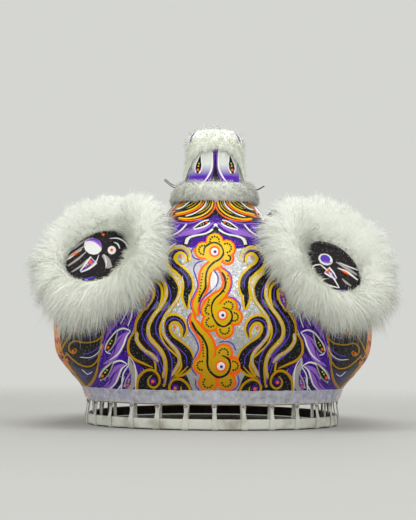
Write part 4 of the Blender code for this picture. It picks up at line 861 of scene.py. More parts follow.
tape_piece = add_mesh("edge_tape_film", tape_band, grid_faces(420, 19, False), tape, "head")
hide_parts("edge_tape")

# Cane in the lower edge
# A split bamboo cane, 7.5 by 10 mm, runs round inside the shell's lower edge. The ties pass over it.
HOOP_PROUD = 0.0010
CANE_WIDTH = 0.0075
CANE_HEIGHT = 0.0100
CANE_DROP = 0.0030
SEAT_GAP = 0.0004
TIE_THICKNESS = 0.0015
HOOP_HEIGHT = 0.0190
cane_outer = -SHELL_WALL - 0.0006
cane_inner = cane_outer - CANE_WIDTH


def beside_foot(angle, out, z):
    """Points at a distance outside the shell's foot, square to it, at a height."""
    angle, out, z = np.broadcast_arrays(*(np.asarray(value, float) for value in (angle, out, z)))
    foot = np.full(angle.shape, SHELL_FOOT)
    along = bare_shell(angle + 0.01, foot) - bare_shell(angle - 0.01, foot)
    along /= np.linalg.norm(along, axis=-1, keepdims=True)
    place = bare_shell(angle, foot)
    place[..., 0] += along[..., 1] * out
    place[..., 1] -= along[..., 0] * out
    place[..., 2] = z
    return place


def ring_profile(half_width, half_height, power, sides):
    """A rounded oblong as (out, up) offsets."""
    turns = np.linspace(0, math.tau, sides, endpoint=False)
    return (
        half_width * np.sign(np.cos(turns)) * np.abs(np.cos(turns)) ** (2 / power),
        half_height * np.sign(np.sin(turns)) * np.abs(np.sin(turns)) ** (2 / power),
    )


bamboo = bpy.data.materials.new("split_bamboo")
bamboo.use_nodes = True
bamboo_shader = bamboo.node_tree.nodes["Principled BSDF"]
bamboo_place = node(bamboo.node_tree, "TexCoord").outputs["Object"]
bamboo_grain = node(bamboo.node_tree, "Mapping", {"Vector": bamboo_place, "Scale": (60, 60, 900)})
bamboo_fibre = node(bamboo.node_tree, "TexNoise", {"Vector": bamboo_grain.outputs[0], "Scale": 1.0, "Detail": 4.0})
bamboo_shade = node(
    bamboo.node_tree, "Mix",
    {0: bamboo_fibre.outputs["Fac"], 6: (0.62, 0.46, 0.27, 1), 7: (0.36, 0.22, 0.10, 1)}, data_type="RGBA",
)
bamboo.node_tree.links.new(bamboo_shade.outputs[2], bamboo_shader.inputs["Base Color"])
bamboo_bump = node(bamboo.node_tree, "Bump", {"Height": bamboo_fibre.outputs["Fac"], "Distance": 0.0006})
bamboo.node_tree.links.new(bamboo_bump.outputs[0], bamboo_shader.inputs["Normal"])
bamboo_shader.inputs["Roughness"].default_value = 0.48
cane_angles = np.linspace(shell_columns[0], shell_columns[last_notch - 1], 360)
cane_out, cane_up = ring_profile(CANE_WIDTH / 2, CANE_HEIGHT / 2, 3.4, 16)
cane_knots = 1 + 0.07 * np.exp(-((np.sin(8.5 * cane_angles)) / 0.05) ** 2)
cane_points = beside_foot(
    cane_angles[:, None], (cane_outer + cane_inner) / 2 + cane_out * cane_knots[:, None],
    SHELL_FOOT - CANE_DROP + CANE_HEIGHT / 2 + cane_up * cane_knots[:, None],
)
cane_band = np.concatenate([cane_points, cane_points[:, :1]], axis=1)
cane_faces = grid_faces(360, 17, False) + [list(range(16))[::-1], [359 * 17 + k for k in range(16)]]
cane = add_mesh("bamboo_edge_cane", cane_band, cane_faces, bamboo, "head")
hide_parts("edge_cane")

# Hoop
# The head stands on a flat hoop of bamboo that is wound with white cotton tape, each turn over half of the
# one before it, so the turns' edges show as slanting ridges.
WRAP_PITCH = 0.0165
def cotton_tape(name, clean, stained):
    """Woven cotton tape with soft stains and a fine grain of threads."""
    made = bpy.data.materials.new(name)
    made.use_nodes = True
    tree = made.node_tree
    shader = tree.nodes["Principled BSDF"]
    place = node(tree, "TexCoord").outputs["Object"]
    stain = node(tree, "TexNoise", {"Vector": place, "Scale": 28.0, "Detail": 4.0})
    threads = node(tree, "TexNoise", {"Vector": place, "Scale": 900.0, "Detail": 2.0})
    soil = node(tree, "MapRange", {"Value": stain.outputs["Fac"], "From Min": 0.44, "From Max": 0.68})
    shade = node(tree, "Mix", {0: soil.outputs["Result"], 6: (*clean, 1), 7: (*stained, 1)}, data_type="RGBA")
    grain = node(tree, "Bump", {"Height": threads.outputs["Fac"], "Distance": 0.0005})
    tree.links.new(shade.outputs[2], shader.inputs["Base Color"])
    tree.links.new(grain.outputs[0], shader.inputs["Normal"])
    shader.inputs["Roughness"].default_value = 0.82
    shader.inputs["Sheen Weight"].default_value = 0.25
    return made


cotton = cotton_tape("white_cotton_tape", (0.68, 0.69, 0.62), (0.40, 0.37, 0.31))
# the inner side of the hoop gets a near-black copy of the tape: painted shade, where little light gets into the head
shaded_cotton = cotton_tape("shaded_inner_cotton_tape", (0.075, 0.060, 0.046), (0.035, 0.027, 0.020))
hoop_angles = np.linspace(0, math.tau, 660, endpoint=False)
hoop_step = np.linalg.norm(np.diff(beside_foot(np.append(hoop_angles, math.tau), 0.0, 0.0), axis=0), axis=1)
hoop_length = np.concatenate([[0], np.cumsum(hoop_step)])
wraps = round(hoop_length[-1] / WRAP_PITCH)
hoop_phase = hoop_length[:-1] / hoop_length[-1] * wraps
hoop_middle = (HOOP_PROUD + cane_inner) / 2
hoop_out, hoop_up = ring_profile((HOOP_PROUD - cane_inner) / 2 - 0.0003, HOOP_HEIGHT / 2 - 0.0003, 6.0, 28)
slant = np.interp(hoop_up, [hoop_up.min(), hoop_up.max()], [0.0, 0.42]) * np.sign(hoop_out + 1e-6)
ridge = 1 - (hoop_phase[:, None] + slant) % 1.0
swell = 1 + 0.10 * ridge**3
hoop_points = beside_foot(
    hoop_angles[:, None], hoop_middle + hoop_out * swell,
    TIE_THICKNESS + SEAT_GAP + HOOP_HEIGHT / 2 + hoop_up * (1 + 0.012 * ridge**2),
)
hoop_band = np.concatenate([hoop_points, hoop_points[:, :1]], axis=1)
# the faces on the hoop's inner side take the painted shade
hoop_picks = np.tile(hoop_out[:28] < 0.3 * hoop_out.max(), 660).astype(int).tolist()
hoop = add_mesh("wrapped_hoop", hoop_band, grid_faces(660, 29), [cotton, shaded_cotton], "head", hoop_picks)
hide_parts("rim_hoop")

# Ties
# Strips of the same tape are looped round the hoop and over the cane, drawn tight and knotted with dark
# thread at the top. They are pinched in the gap and spread out over the hoop.
thread = bpy.data.materials.new("dark_thread")
thread.use_nodes = True
thread_shader = thread.node_tree.nodes["Principled BSDF"]
thread_place = node(thread.node_tree, "TexCoord").outputs["Object"]
thread_strands = node(thread.node_tree, "TexNoise", {"Vector": thread_place, "Scale": 1500.0, "Detail": 2.0})
thread_shade = node(
    thread.node_tree, "Mix",
    {0: thread_strands.outputs["Fac"], 6: (0.02, 0.01, 0.05, 1), 7: (0.12, 0.06, 0.20, 1)}, data_type="RGBA",
)
thread.node_tree.links.new(thread_shade.outputs[2], thread_shader.inputs["Base Color"])
thread_shader.inputs["Roughness"].default_value = 0.8
tie_low, tie_high = TIE_THICKNESS + SEAT_GAP / 2, SHELL_FOOT - CANE_DROP + CANE_HEIGHT
tie_path = np.array([
    # out, up and half width, from under the hoop round its outer side, over the cane and down its inner side
    (hoop_middle, SEAT_GAP + 0.0008, 0.0056),
    (HOOP_PROUD - 0.0015, SEAT_GAP + 0.0008, 0.0058),
    (HOOP_PROUD + 0.0013, 0.0035, 0.0060),
    (HOOP_PROUD + 0.0014, 0.0110, 0.0056),
    (HOOP_PROUD + 0.0013, 0.0180, 0.0052),
    (HOOP_PROUD + 0.0004, 0.0225, 0.0040),
    (cane_outer + 0.0021, 0.0345, 0.0029),
    (cane_outer + 0.0014, 0.0430, 0.0050),
    (cane_outer + 0.0012, tie_high - 0.001, 0.0050),
    (cane_outer - 0.0012, tie_high + 0.0012, 0.0052),
    (cane_inner + 0.0010, tie_high + 0.0012, 0.0052),
    (cane_inner - 0.0012, tie_high - 0.001, 0.0050),
    (cane_inner - 0.0013, 0.0400, 0.0038),
    (cane_inner - 0.0014, 0.0210, 0.0046),
    (cane_inner - 0.0014, 0.0035, 0.0056),
    (cane_inner + 0.0015, SEAT_GAP + 0.0008, 0.0056),
])
closed = np.concatenate([tie_path[-2:], tie_path, tie_path[:3]])
fine_share = np.linspace(2, 2 + len(tie_path), 76, endpoint=False)
tie_fine = np.stack([np.interp(fine_share, np.arange(len(closed)), closed[:, k]) for k in range(3)], axis=1)
for _ in range(2):
    tie_fine = (np.roll(tie_fine, 1, axis=0) + 2 * tie_fine + np.roll(tie_fine, -1, axis=0)) / 4
tie_normal = np.roll(tie_fine[:, :2], -1, axis=0) - np.roll(tie_fine[:, :2], 1, axis=0)
tie_normal = np.stack([tie_normal[:, 1], -tie_normal[:, 0]], axis=1)
tie_normal /= np.linalg.norm(tie_normal, axis=1, keepdims=True)
random = np.random.default_rng(7)
for number, angle in enumerate(tie_angles, start=1):
    centre = beside_foot(angle, 0.0, 0.0)
    ahead = beside_foot(angle + 0.01, 0.0, 0.0) - centre
    ahead /= np.linalg.norm(ahead)
    outwards = np.array([ahead[1], -ahead[0], 0.0])
    width_change, lean = random.uniform(0.9, 1.12), random.uniform(-0.0012, 0.0012)
    rings = []
    for side, lift in ((-1, -1), (-0.5, -1), (0, -1), (0.5, -1), (1, -1), (1, 1), (0.5, 1.15), (0, 0.9), (-0.5, 1.15), (-1, 1)):
        flat = tie_fine[:, :2] + tie_normal * (lift * TIE_THICKNESS * 0.42)
        sideways = side * tie_fine[:, 2] * width_change + lean * (tie_fine[:, 1] - 0.02) / 0.02
        rings.append(
            centre + outwards * flat[:, :1] + ahead * sideways[:, None] + np.array([0, 0, 1.0]) * flat[:, 1:2]
        )
    band = np.stack(rings, axis=1)
    band = np.concatenate([band, band[:, :1]], axis=1)
    tie = add_mesh(f"cloth_tie_{number:02d}", band, grid_faces(76, 11), cotton, "head")
    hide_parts(f"tie_{number:02d}")
    knot = []
    turns = np.linspace(0, math.tau, 24, endpoint=False)
    for k, turn in enumerate(turns):
        across = (0.0042 + 0.0006 * math.sin(3 * turn)) * math.cos(turn)
        up = 0.0435 + 0.0016 * math.sin(turn) + 0.0008 * math.sin(2 * turn + number)
        heart = centre + outwards * (cane_outer + 0.0034 - 0.0010 * abs(math.cos(turn))) + ahead * across
        for small in np.linspace(0, math.tau, 6, endpoint=False):
            knot.append(heart + outwards * 0.0005 * math.cos(small) + np.array([0, 0, up + 0.0005 * math.sin(small)]))
    knot_faces = grid_faces(24, 6)
    knot_faces += [(i * 6 + 5, (i + 1) % 24 * 6 + 5, (i + 1) % 24 * 6, i * 6) for i in range(24)]
    knot_piece = add_mesh(f"tie_thread_{number:02d}", knot, knot_faces, thread, "head")

# Horn
# A hollow paper cone with a rounded crown. Its back is painted with two white and violet petals on both
# sides of a black line, its sides and front with plain violet bands.
SEAT_GAP = 0.0004
HORN_HEIGHT = 0.108
HORN_WALL = 0.0025
HORN_SECTIONS = np.array([
    # share of the height, width, depth, lean forward
    (0.00, 1.00, 1.00, 0.00),
    (0.14, 0.87, 0.90, 0.01),
    (0.32, 0.78, 0.80, 0.02),
    (0.55, 0.72, 0.72, 0.04),
    (0.76, 0.72, 0.68, 0.07),
    (0.88, 0.68, 0.61, 0.09),
    (0.94, 0.58, 0.51, 0.10),
    (0.98, 0.42, 0.36, 0.10),
    (1.00, 0.22, 0.18, 0.10),
])


def on_horn(angle, share, lift=0.0):
    """Points on the horn at shares of its height, or beside it by a lift."""
    angle, share, lift = np.broadcast_arrays(*(np.asarray(value, float) for value in (angle, share, lift)))
    neck_width, neck_back, neck_front, middle = shell_section(NECK_TOP)
    rows = smooth_table(HORN_SECTIONS, share)
    section = (neck_width * rows[..., 0] + lift, neck_back * rows[..., 1] + lift, neck_front * rows[..., 1] + lift,
               middle + rows[..., 2] * HORN_HEIGHT)
    crown = np.clip((share - 0.88) / 0.12, 0, 1)
    return oval(section, angle, NECK_TOP + SEAT_GAP + share * HORN_HEIGHT + crown * lift)


horn_turns = np.linspace(0, math.tau, 120, endpoint=False)
horn_shares = np.concatenate([np.linspace(0, 0.86, 44), np.linspace(0.88, 1.0, 18)])
horn_tip = np.array([0, shell_section(NECK_TOP)[3] + 0.1 * HORN_HEIGHT, NECK_TOP + SEAT_GAP + HORN_HEIGHT])
horn_outside = on_horn(horn_turns[:, None], horn_shares)
horn_inside = on_horn(horn_turns[:, None], horn_shares, -HORN_WALL)
horn_count = 120 * 62
horn_faces = grid_faces(120, 62)
horn_faces += [face[::-1] for face in grid_faces(120, 62, True, horn_count)]
horn_picks = [0] * (119 * 0 + 120 * 61) + [1] * (120 * 61)
for i in range(120):
    after = (i + 1) % 120
    horn_faces.append((i * 62, i * 62 + horn_count, after * 62 + horn_count, after * 62))
    horn_faces.append((i * 62 + 61, after * 62 + 61, 2 * horn_count))
    horn_faces.append((after * 62 + 61 + horn_count, i * 62 + 61 + horn_count, 2 * horn_count + 1))
    horn_picks += [1, 0, 1]
horn = add_mesh(
    "papered_horn",
    np.concatenate([horn_outside.reshape(-1, 3), horn_inside.reshape(-1, 3),
                    [horn_tip + (0, 0, 0.0008), horn_tip - (0, 0, HORN_WALL)]]),
    horn_faces, [silver, kraft], "head", horn_picks,
)
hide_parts("horn")

# Fur
# All of the trim is long white synthetic fur, sewn or glued on as strips of pile cloth. The pile lies in
# locks, stands away from the cloth and hangs a little under its own weight.
def white_pile(name, shade_full_at, shade_ends_at):
    """Pile with painted shade: white above one height, darkening to grey towards another below it.
    White hairs let light through to one another, so a faint glow, a painted light, keeps the depths of the
    pile from going dark, and it is weaker where the pile is painted darker."""
    made = bpy.data.materials.new(name)
    made.use_nodes = True
    tree = made.node_tree
    shader = tree.nodes["Principled BSDF"]
    place = node(tree, "TexCoord").outputs["Object"]
    locks = node(tree, "TexNoise", {"Vector": place, "Scale": 48.0, "Detail": 2.0})
    hairs = node(tree, "TexNoise", {"Vector": place, "Scale": 260.0, "Detail": 3.0})
    soil = node(tree, "MapRange", {"Value": locks.outputs["Fac"], "From Min": 0.35, "From Max": 0.75})
    tone = node(tree, "Mix", {0: soil.outputs["Result"], 6: (0.92, 0.95, 0.86, 1), 7: (0.85, 0.85, 0.77, 1)},
                data_type="RGBA")
    fine = node(tree, "Mix", {0: hairs.outputs["Fac"], 6: tone.outputs[2], 7: (0.94, 0.96, 0.89, 1)},
                data_type="RGBA")
    height = node(tree, "SeparateXYZ", {"Vector": place}).outputs["Z"]
    painted_shade = node(tree, "MapRange", {"Value": height, "From Min": shade_ends_at, "From Max": shade_full_at})
    shaded_fur = node(tree, "Mix", {0: painted_shade.outputs["Result"], 6: fine.outputs[2], 7: (0.60, 0.60, 0.55, 1)},
                data_type="RGBA")
    glow = node(tree, "MapRange", {"Value": painted_shade.outputs["Result"], "To Min": 0.13, "To Max": 0.05})
    bump = node(tree, "Bump", {"Height": hairs.outputs["Fac"], "Distance": 0.002, "Strength": 0.6})
    tree.links.new(shaded_fur.outputs[2], shader.inputs["Base Color"])
    tree.links.new(bump.outputs[0], shader.inputs["Normal"])
    tree.links.new(glow.outputs["Result"], shader.inputs["Emission Strength"])
    shader.inputs["Emission Color"].default_value = (0.94, 0.98, 0.86, 1)
    shader.inputs["Roughness"].default_value = 0.88
    shader.inputs["Specular IOR Level"].default_value = 0.25
    shader.inputs["Sheen Weight"].default_value = 0.35
    return made


pile = white_pile("white_pile", -0.2, 0.0)
# the pile of the ears and the collar is painted darker lower down: painted shade
ear_pile = white_pile("ear_pile", 0.0, 0.37)
collar_pile = white_pile("collar_pile", 0.430, 0.486)
BRUSHED_FLAT = -0.336


def unit(vectors):
    return vectors / (np.linalg.norm(vectors, axis=-1, keepdims=True) + 1e-12)


def pad_frame(pad, u, v):
    """Places on a pad, with its outward normal and the directions round it and across it."""
    place = pad(u, v)
    round_it = unit(pad(u + 0.002, v) - pad(u - 0.002, v))
    across = unit(pad(u, v + 0.004) - pad(u, v - 0.004))
    return place, unit(np.cross(across, round_it)), round_it, across


def pile_cloth(name, body, pad, around, across, loop, fur=pile):
    """The soft cloth below the pile, on a grid over its pad."""
    u = np.linspace(0, 1, around, endpoint=not loop)[:, None]
    v = np.linspace(0, 1, across)
    faces = grid_faces(around, across, loop)
    corners = pad(*np.broadcast_arrays(u, v))
    return add_mesh(name, corners, [face[::-1] for face in faces], fur, body, crease=180.0)


def pile_hair(name, body, pad, count, comb, length, droop=0.25, clump=0.4, lock_size=40, width=0.0010, seed=1,
              keep=None, fur=pile):
    """Tapered hairs over a pad. comb gives their lean as (out, round, across, up) weights at places (u, v)."""
    dice = np.random.default_rng(seed)
    u, v = dice.random((2, count * 2))
    if keep is not None:
        kept = dice.random(count * 2) < keep(u, v)
        u, v = u[kept], v[kept]
    u, v = u[:count], v[:count]
    count = len(u)
    root, normal, round_it, across = pad_frame(pad, u, v)
    out, turn, side, up = (np.broadcast_to(np.asarray(w, float), (count,))[:, None] for w in comb(u, v))
    heading = unit(normal * out + round_it * turn + across * side + np.array([0, 0, 1.0]) * up
                   + dice.normal(0, 0.17, (count, 3)))
    stray = np.where(dice.random(count) < 0.07, 1.32, 1.0)
    reach = (length(u, v) * dice.uniform(0.62, 1.08, count) * stray)[:, None]
    fall = np.array([0, 0, -1.0]) * droop
    leaders = dice.choice(count, max(count // lock_size, 2), replace=False)
    nearest = np.empty(count, int)
    for start in range(0, count, 4000):
        part = root[start:start + 4000]
        gaps = (part**2).sum(1)[:, None] - 2 * part @ root[leaders].T + (root[leaders] ** 2).sum(1)
        nearest[start:start + 4000] = leaders[np.argmin(gaps, axis=1)]
    tips = root + (heading + fall) * reach
    pull = (tips[nearest] - tips) * clump * dice.uniform(0.5, 1.0, (count, 1))
    wander = dice.normal(0, 0.05, (count, 3)) * reach
    flat = unit(np.cross(heading, normal) + dice.normal(0, 0.35, (count, 3)))
    halves = width / 2 * dice.uniform(0.7, 1.2, (count, 1))
    points, normals = [], []
    for share, thick in ((0.0, 1.0), (0.38, 0.85), (0.74, 0.48), (1.0, 0.0)):
        spine = (root - normal * 0.0015 + heading * reach * share + fall * reach * share**2 + pull * share**1.6
                 + wander * math.sin(math.pi * share))
        # the long pile of the ears is brushed flat where it faces straight back
        behind = BRUSHED_FLAT - spine[:, 1]
        spine[:, 1] += np.where(behind > 0, behind - 0.016 * (1 - np.exp(-np.maximum(behind, 0) / 0.016)), 0)
        bulge = unit(normal * (1.0 - 0.45 * share) + heading * 0.45 * share)
        if thick:
            points += [spine - flat * halves * thick, spine + flat * halves * thick]
            normals += [unit(bulge - flat * 0.35), unit(bulge + flat * 0.35)]
        else:
            points.append(spine)
            normals.append(bulge)
    corners = np.stack(points, axis=1).reshape(-1, 3)
    shading = np.stack(normals, axis=1).reshape(-1, 3)
    first = np.arange(count)[:, None] * 7
    turned_in = (np.einsum("ij,ij->i", np.cross(heading, flat), normal) > 0)[:, None]
    faces = []
    for face in ((0, 1, 3, 2), (2, 3, 5, 4), (4, 5, 6)):
        face = np.array(face)
        faces += (first + np.where(turned_in, face[::-1], face)).tolist()
    mesh = bpy.data.meshes.new(name)
    mesh.from_pydata(corners.tolist(), [], faces)
    mesh.materials.append(fur)
    mesh.shade_smooth()
    mesh.normals_split_custom_set_from_vertices(shading.tolist())
    made = bpy.data.objects.new(name, mesh)
    bpy.context.scene.collection.objects.link(made)
    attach(made, body)
    return made


# Hood
# A cap of pile cloth over the horn's crown, with an arch left open at the back and a leg at each side.
HOOD_LOFT = 0.013


def hood_pad(u, v):
    turn = math.pi - np.mod(u * math.tau, math.tau)
    arch = ((0, 35, 55, 70, 84, 92, 112, 150, 180), (0.78, 0.66, 0.56, 0.43, 0.24, 0.12, 0.12, 0.50, 0.72))
    low = np.interp(np.degrees(np.abs(turn)), *arch)
    share = np.clip(low + (1 - low) * v, 0, 1)
    fullness = np.clip(0.35 + 3 * v, 0, 1)
    place = on_horn(turn, share, 0.0014 + HOOD_LOFT * (0.42 * fullness + 0.4 * np.clip((v - 0.7) / 0.3, 0, 1)))
    top = np.clip((v - 0.985) / 0.015, 0, 1)[..., None]
    return place * (1 - top) + (horn_tip + np.array([0, 0, 0.0115])) * top


def bare_corner(u, v):
    """Where the pile is worn off at both upper corners of the horn, and its violet paint shows."""
    turn = np.abs(math.pi - np.mod(u * math.tau, math.tau))
    return np.exp(-((turn - 1.16) / 0.15) ** 2) * ((v > 0.72) & (v < 0.96))


hood_cloth = pile_cloth("hood_cloth", "head", hood_pad, 90, 40, True)
hood_cloth.data.materials.append(plum)
for k, face in enumerate(hood_cloth.data.polygons):
    if bare_corner((k // 39 + 0.5) / 90, (k % 39 + 0.5) / 39) > 0.5:
        face.material_index = 1
hood_hair = pile_hair(
    "hood_pile", "head", hood_pad, 10000, lambda u, v: (
        0.7, 0.12 * np.sin(19 * u), np.interp(v, [0, 0.7, 1], [-1.1, -0.6, 0.0]), np.interp(v, [0, 0.6, 1], [0, 0, 0.3])),
    lambda u, v: (0.0135 + 0.003 * np.sin(40 * u)) * np.interp(v, [0, 0.15, 0.5, 0.8, 1], [0.6, 0.95, 0.95, 0.9, 1.25]),
    droop=0.15, seed=11, width=0.0008, clump=0.4,
    keep=lambda u, v: np.interp(v, [0, 0.7, 1.0], [1.0, 0.9, 0.2]) * (1 - 0.92 * bare_corner(u, v)), lock_size=40,
)
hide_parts("horn_hood")

# Collar
# A strip of the same pile cloth round the foot of the horn, over the neck's edge.
COLLAR_LOW = 0.434
COLLAR_HIGH = 0.472


def collar_pad(u, v):
    z = COLLAR_LOW + (COLLAR_HIGH - COLLAR_LOW) * np.clip(v, -0.05, 1.05)
    lift = 0.0020 + 0.0085 * np.sqrt(np.clip(1 - (2 * v - 1) ** 2, 0, 1))
    on_neck = on_shell(-u * math.tau, np.minimum(z, NECK_TOP), lift)
    beside_horn = on_horn(-u * math.tau, np.clip((z - NECK_TOP - SEAT_GAP) / HORN_HEIGHT, 0, 1), lift)
    place = np.where((z > NECK_TOP)[..., None], beside_horn, on_neck)
    place[..., 2] = z
    return place


collar_cloth = pile_cloth("collar_cloth", "head", collar_pad, 120, 14, True, collar_pile)
collar_hair = pile_hair(
    "collar_pile", "head", collar_pad, 9500, lambda u, v: (
        np.interp(v, [0, 0.6, 1], [0.8, 0.7, 0.9]), 0.08 * np.sin(31 * u), np.interp(v, [0, 0.7, 1], [-0.6, -0.55, 0.1]), 0),
    lambda u, v: (0.0150 + 0.002 * np.sin(25 * u)) * np.interp(v, [0, 0.3, 1], [0.45, 0.85, 0.95]),
    droop=0.25, seed=12, width=0.0009, clump=0.5, lock_size=40, fur=collar_pile,
)
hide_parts("horn_collar")

# Ears
# Each ear is a dished oval leaf of papered bamboo that hangs from a pin beside the crown, inside a thick
# ring of long fur. The middle of its back is left bare and painted.
EAR_YAW, EAR_PITCH, EAR_DROOP = math.radians(31.0), math.radians(30.0), math.radians(18.0)
EAR_MIDDLE = (0.216, -0.179, -0.138)
EAR_ROOT = (0.123, 0.050)
EAR_FUR_LENGTH = 0.038
# the bare windows in the fur: place, half length and height, and lean in degrees, which differ a little
EAR_WINDOWS = {-1: ((0.004, -0.013), (0.075, 0.056), -12.0), 1: ((0.007, -0.036), (0.067, 0.052), 8.0)}


def ear_frame(side):
    """The ear's place and its directions inwards to the horn, up, and out of its back, as columns."""
    out = np.array([side * math.sin(EAR_YAW) * math.cos(EAR_PITCH), -math.cos(EAR_YAW) * math.cos(EAR_PITCH),
                    math.sin(EAR_PITCH)])
    flat = np.array([-side * math.cos(EAR_YAW), -math.sin(EAR_YAW), 0])
    rise = unit(np.array([0, 0, 1.0]) - out * out[2])
    inwards = flat * math.cos(EAR_DROOP) + rise * math.sin(EAR_DROOP)
    up = rise * math.cos(EAR_DROOP) - flat * math.sin(EAR_DROOP)
    middle = np.array([side * EAR_MIDDLE[0], PIVOT_Y + EAR_MIDDLE[1], NECK_TOP + EAR_MIDDLE[2]])
    return middle, np.stack([inwards, up, out])


def leaf_radius(turn):
    taper = 1 - 0.06 * np.maximum(-np.cos(turn), 0) * np.abs(np.sin(turn))
    return taper / np.hypot(np.cos(turn) / 0.105, np.sin(turn) / 0.092)


def ear_pad(side):
    """The ring of cloth below an ear's fur: round the leaf's edge from the bare window to its front."""
    middle, axes = ear_frame(side)
    heading = math.atan2(EAR_ROOT[1], EAR_ROOT[0])
    (x, y), (long, high), lean = EAR_WINDOWS[side]
    lean = math.radians(lean)

    def pad(u, v):
        turn = -side * u * math.tau
        ray = np.stack([np.cos(turn), np.sin(turn)], axis=-1)
        roll = math.pi * (1 - 1.78 * v)
        reach = EAR_FUR_LENGTH * (1 + 0.30 * np.maximum(-np.sin(turn), 0) ** 2)
        a, b = long * np.cos(turn - lean), high * np.sin(turn - lean)
        inner = np.stack([x + a * math.cos(lean) - b * math.sin(lean),
                          y + a * math.sin(lean) + b * math.cos(lean)], axis=-1)
        outer = ray * (leaf_radius(turn) + 0.42 * reach)[..., None]
        flat = inner + (outer - inner) * ((1 + np.cos(roll)) / 2)[..., None]
        near_pin = np.clip(1.6 - np.abs(np.arctan2(np.sin(turn - heading), np.cos(turn - heading))) / 0.22, 0, 1)
        behind = 0.009 + 0.021 * np.sin(roll) * (1 - 0.45 * np.maximum(-np.sin(turn), 0) ** 2)
        ahead = np.sin(roll) * 0.016 * (1 - near_pin) + 0.015 * near_pin
        out = np.where(roll > 0, behind + 0.008 * near_pin * (1 + np.cos(roll)) / 2, 0.009 * (1 - near_pin) + ahead)
        return middle + flat[..., :1] * axes[0] + flat[..., 1:] * axes[1] + out[..., None] * axes[2]

    return pad


def ear_rules(side):
    """How an ear's hair leans and how long it is: short at the window, longest below and over the pin."""

    def comb(u, v):
        turn = -side * u * math.tau
        below = np.maximum(-np.sin(turn), 0)
        inner = np.clip((0.40 - v) / 0.25, 0, 1)
        return (
            np.interp(v, [0, 0.12, 0.35, 0.62, 1.0], [0.9, 1.0, 0.95, 0.8, 0.5]) * (1 - 0.65 * below * inner),
            0.10 * np.sin(7 * turn),
            np.interp(v, [0, 0.06, 0.22, 0.62, 1.0], [-0.1, 0.5, 1.0, 0.35, -0.7]),
            -0.35 * below + 0.12 * (1 - below),
        )

    def length(u, v):
        turn = -side * u * math.tau
        below = np.maximum(-np.sin(turn), 0)
        near_pin = np.exp(-(np.arctan2(np.sin(turn - 0.386), np.cos(turn - 0.386)) / 0.42) ** 2)
        full = 0.036 + 0.016 * below + 0.014 * near_pin + 0.004 * np.sin(11 * turn) + 0.003 * np.sin(23 * turn)
        full = full + 0.005 * np.sin(3 * turn + 1.3) + 0.004 * np.sin(5 * turn + side)
        return full * np.interp(v, [0, 0.08, 0.22, 0.55, 1.0], [0.20, 0.42, 1.0, 1.0, 0.6])

    return comb, length


for side, word in ((-1, "left"), (1, "right")):
    ear_cloth = pile_cloth(f"ear_cloth_{word}", f"ear_{word}", ear_pad(side), 120, 40, True, ear_pile)
    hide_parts(f"ear_fur_{word}")
    pile_hair(
        f"ear_pile_{word}", f"ear_{word}", ear_pad(side), 29000, *ear_rules(side), droop=0.30, clump=0.30,
        lock_size=40, width=0.0011, seed=20 + side,
        keep=lambda u, v: np.interp(v, [0, 0.1, 0.6, 1.0], [0.8, 1.0, 1.0, 0.35]), fur=ear_pile,
    )

# Ear leaves
# The leaves themselves: papered and lacquered black, with petals and comet stripes in the bare window, an arm
# to the knuckle, and a plain pin that the knuckle turns on.


def turned_ring(profile, origin, axes, sides=36):
    """Corners and faces of a ring turned round the third axis from a closed loop of (radius, height)."""
    turns = np.linspace(0, math.tau, sides, endpoint=False)
    rim = np.cos(turns)[:, None] * axes[0] + np.sin(turns)[:, None] * axes[1]
    loop = np.array([*profile, profile[0]])
    corners = origin + rim[:, None] * loop[:, :1] + axes[2] * loop[:, 1:]
    return corners.reshape(-1, 3), grid_faces(sides, len(loop))


def join_parts(parts):
    """One list of corners and faces from several."""
    corners, faces, first = [], [], 0
    for part_corners, part_faces in parts:
        corners.append(np.asarray(part_corners, float).reshape(-1, 3))
        faces += [[first + k for k in face] for face in part_faces]
        first += len(corners[-1])
    return np.concatenate(corners), faces


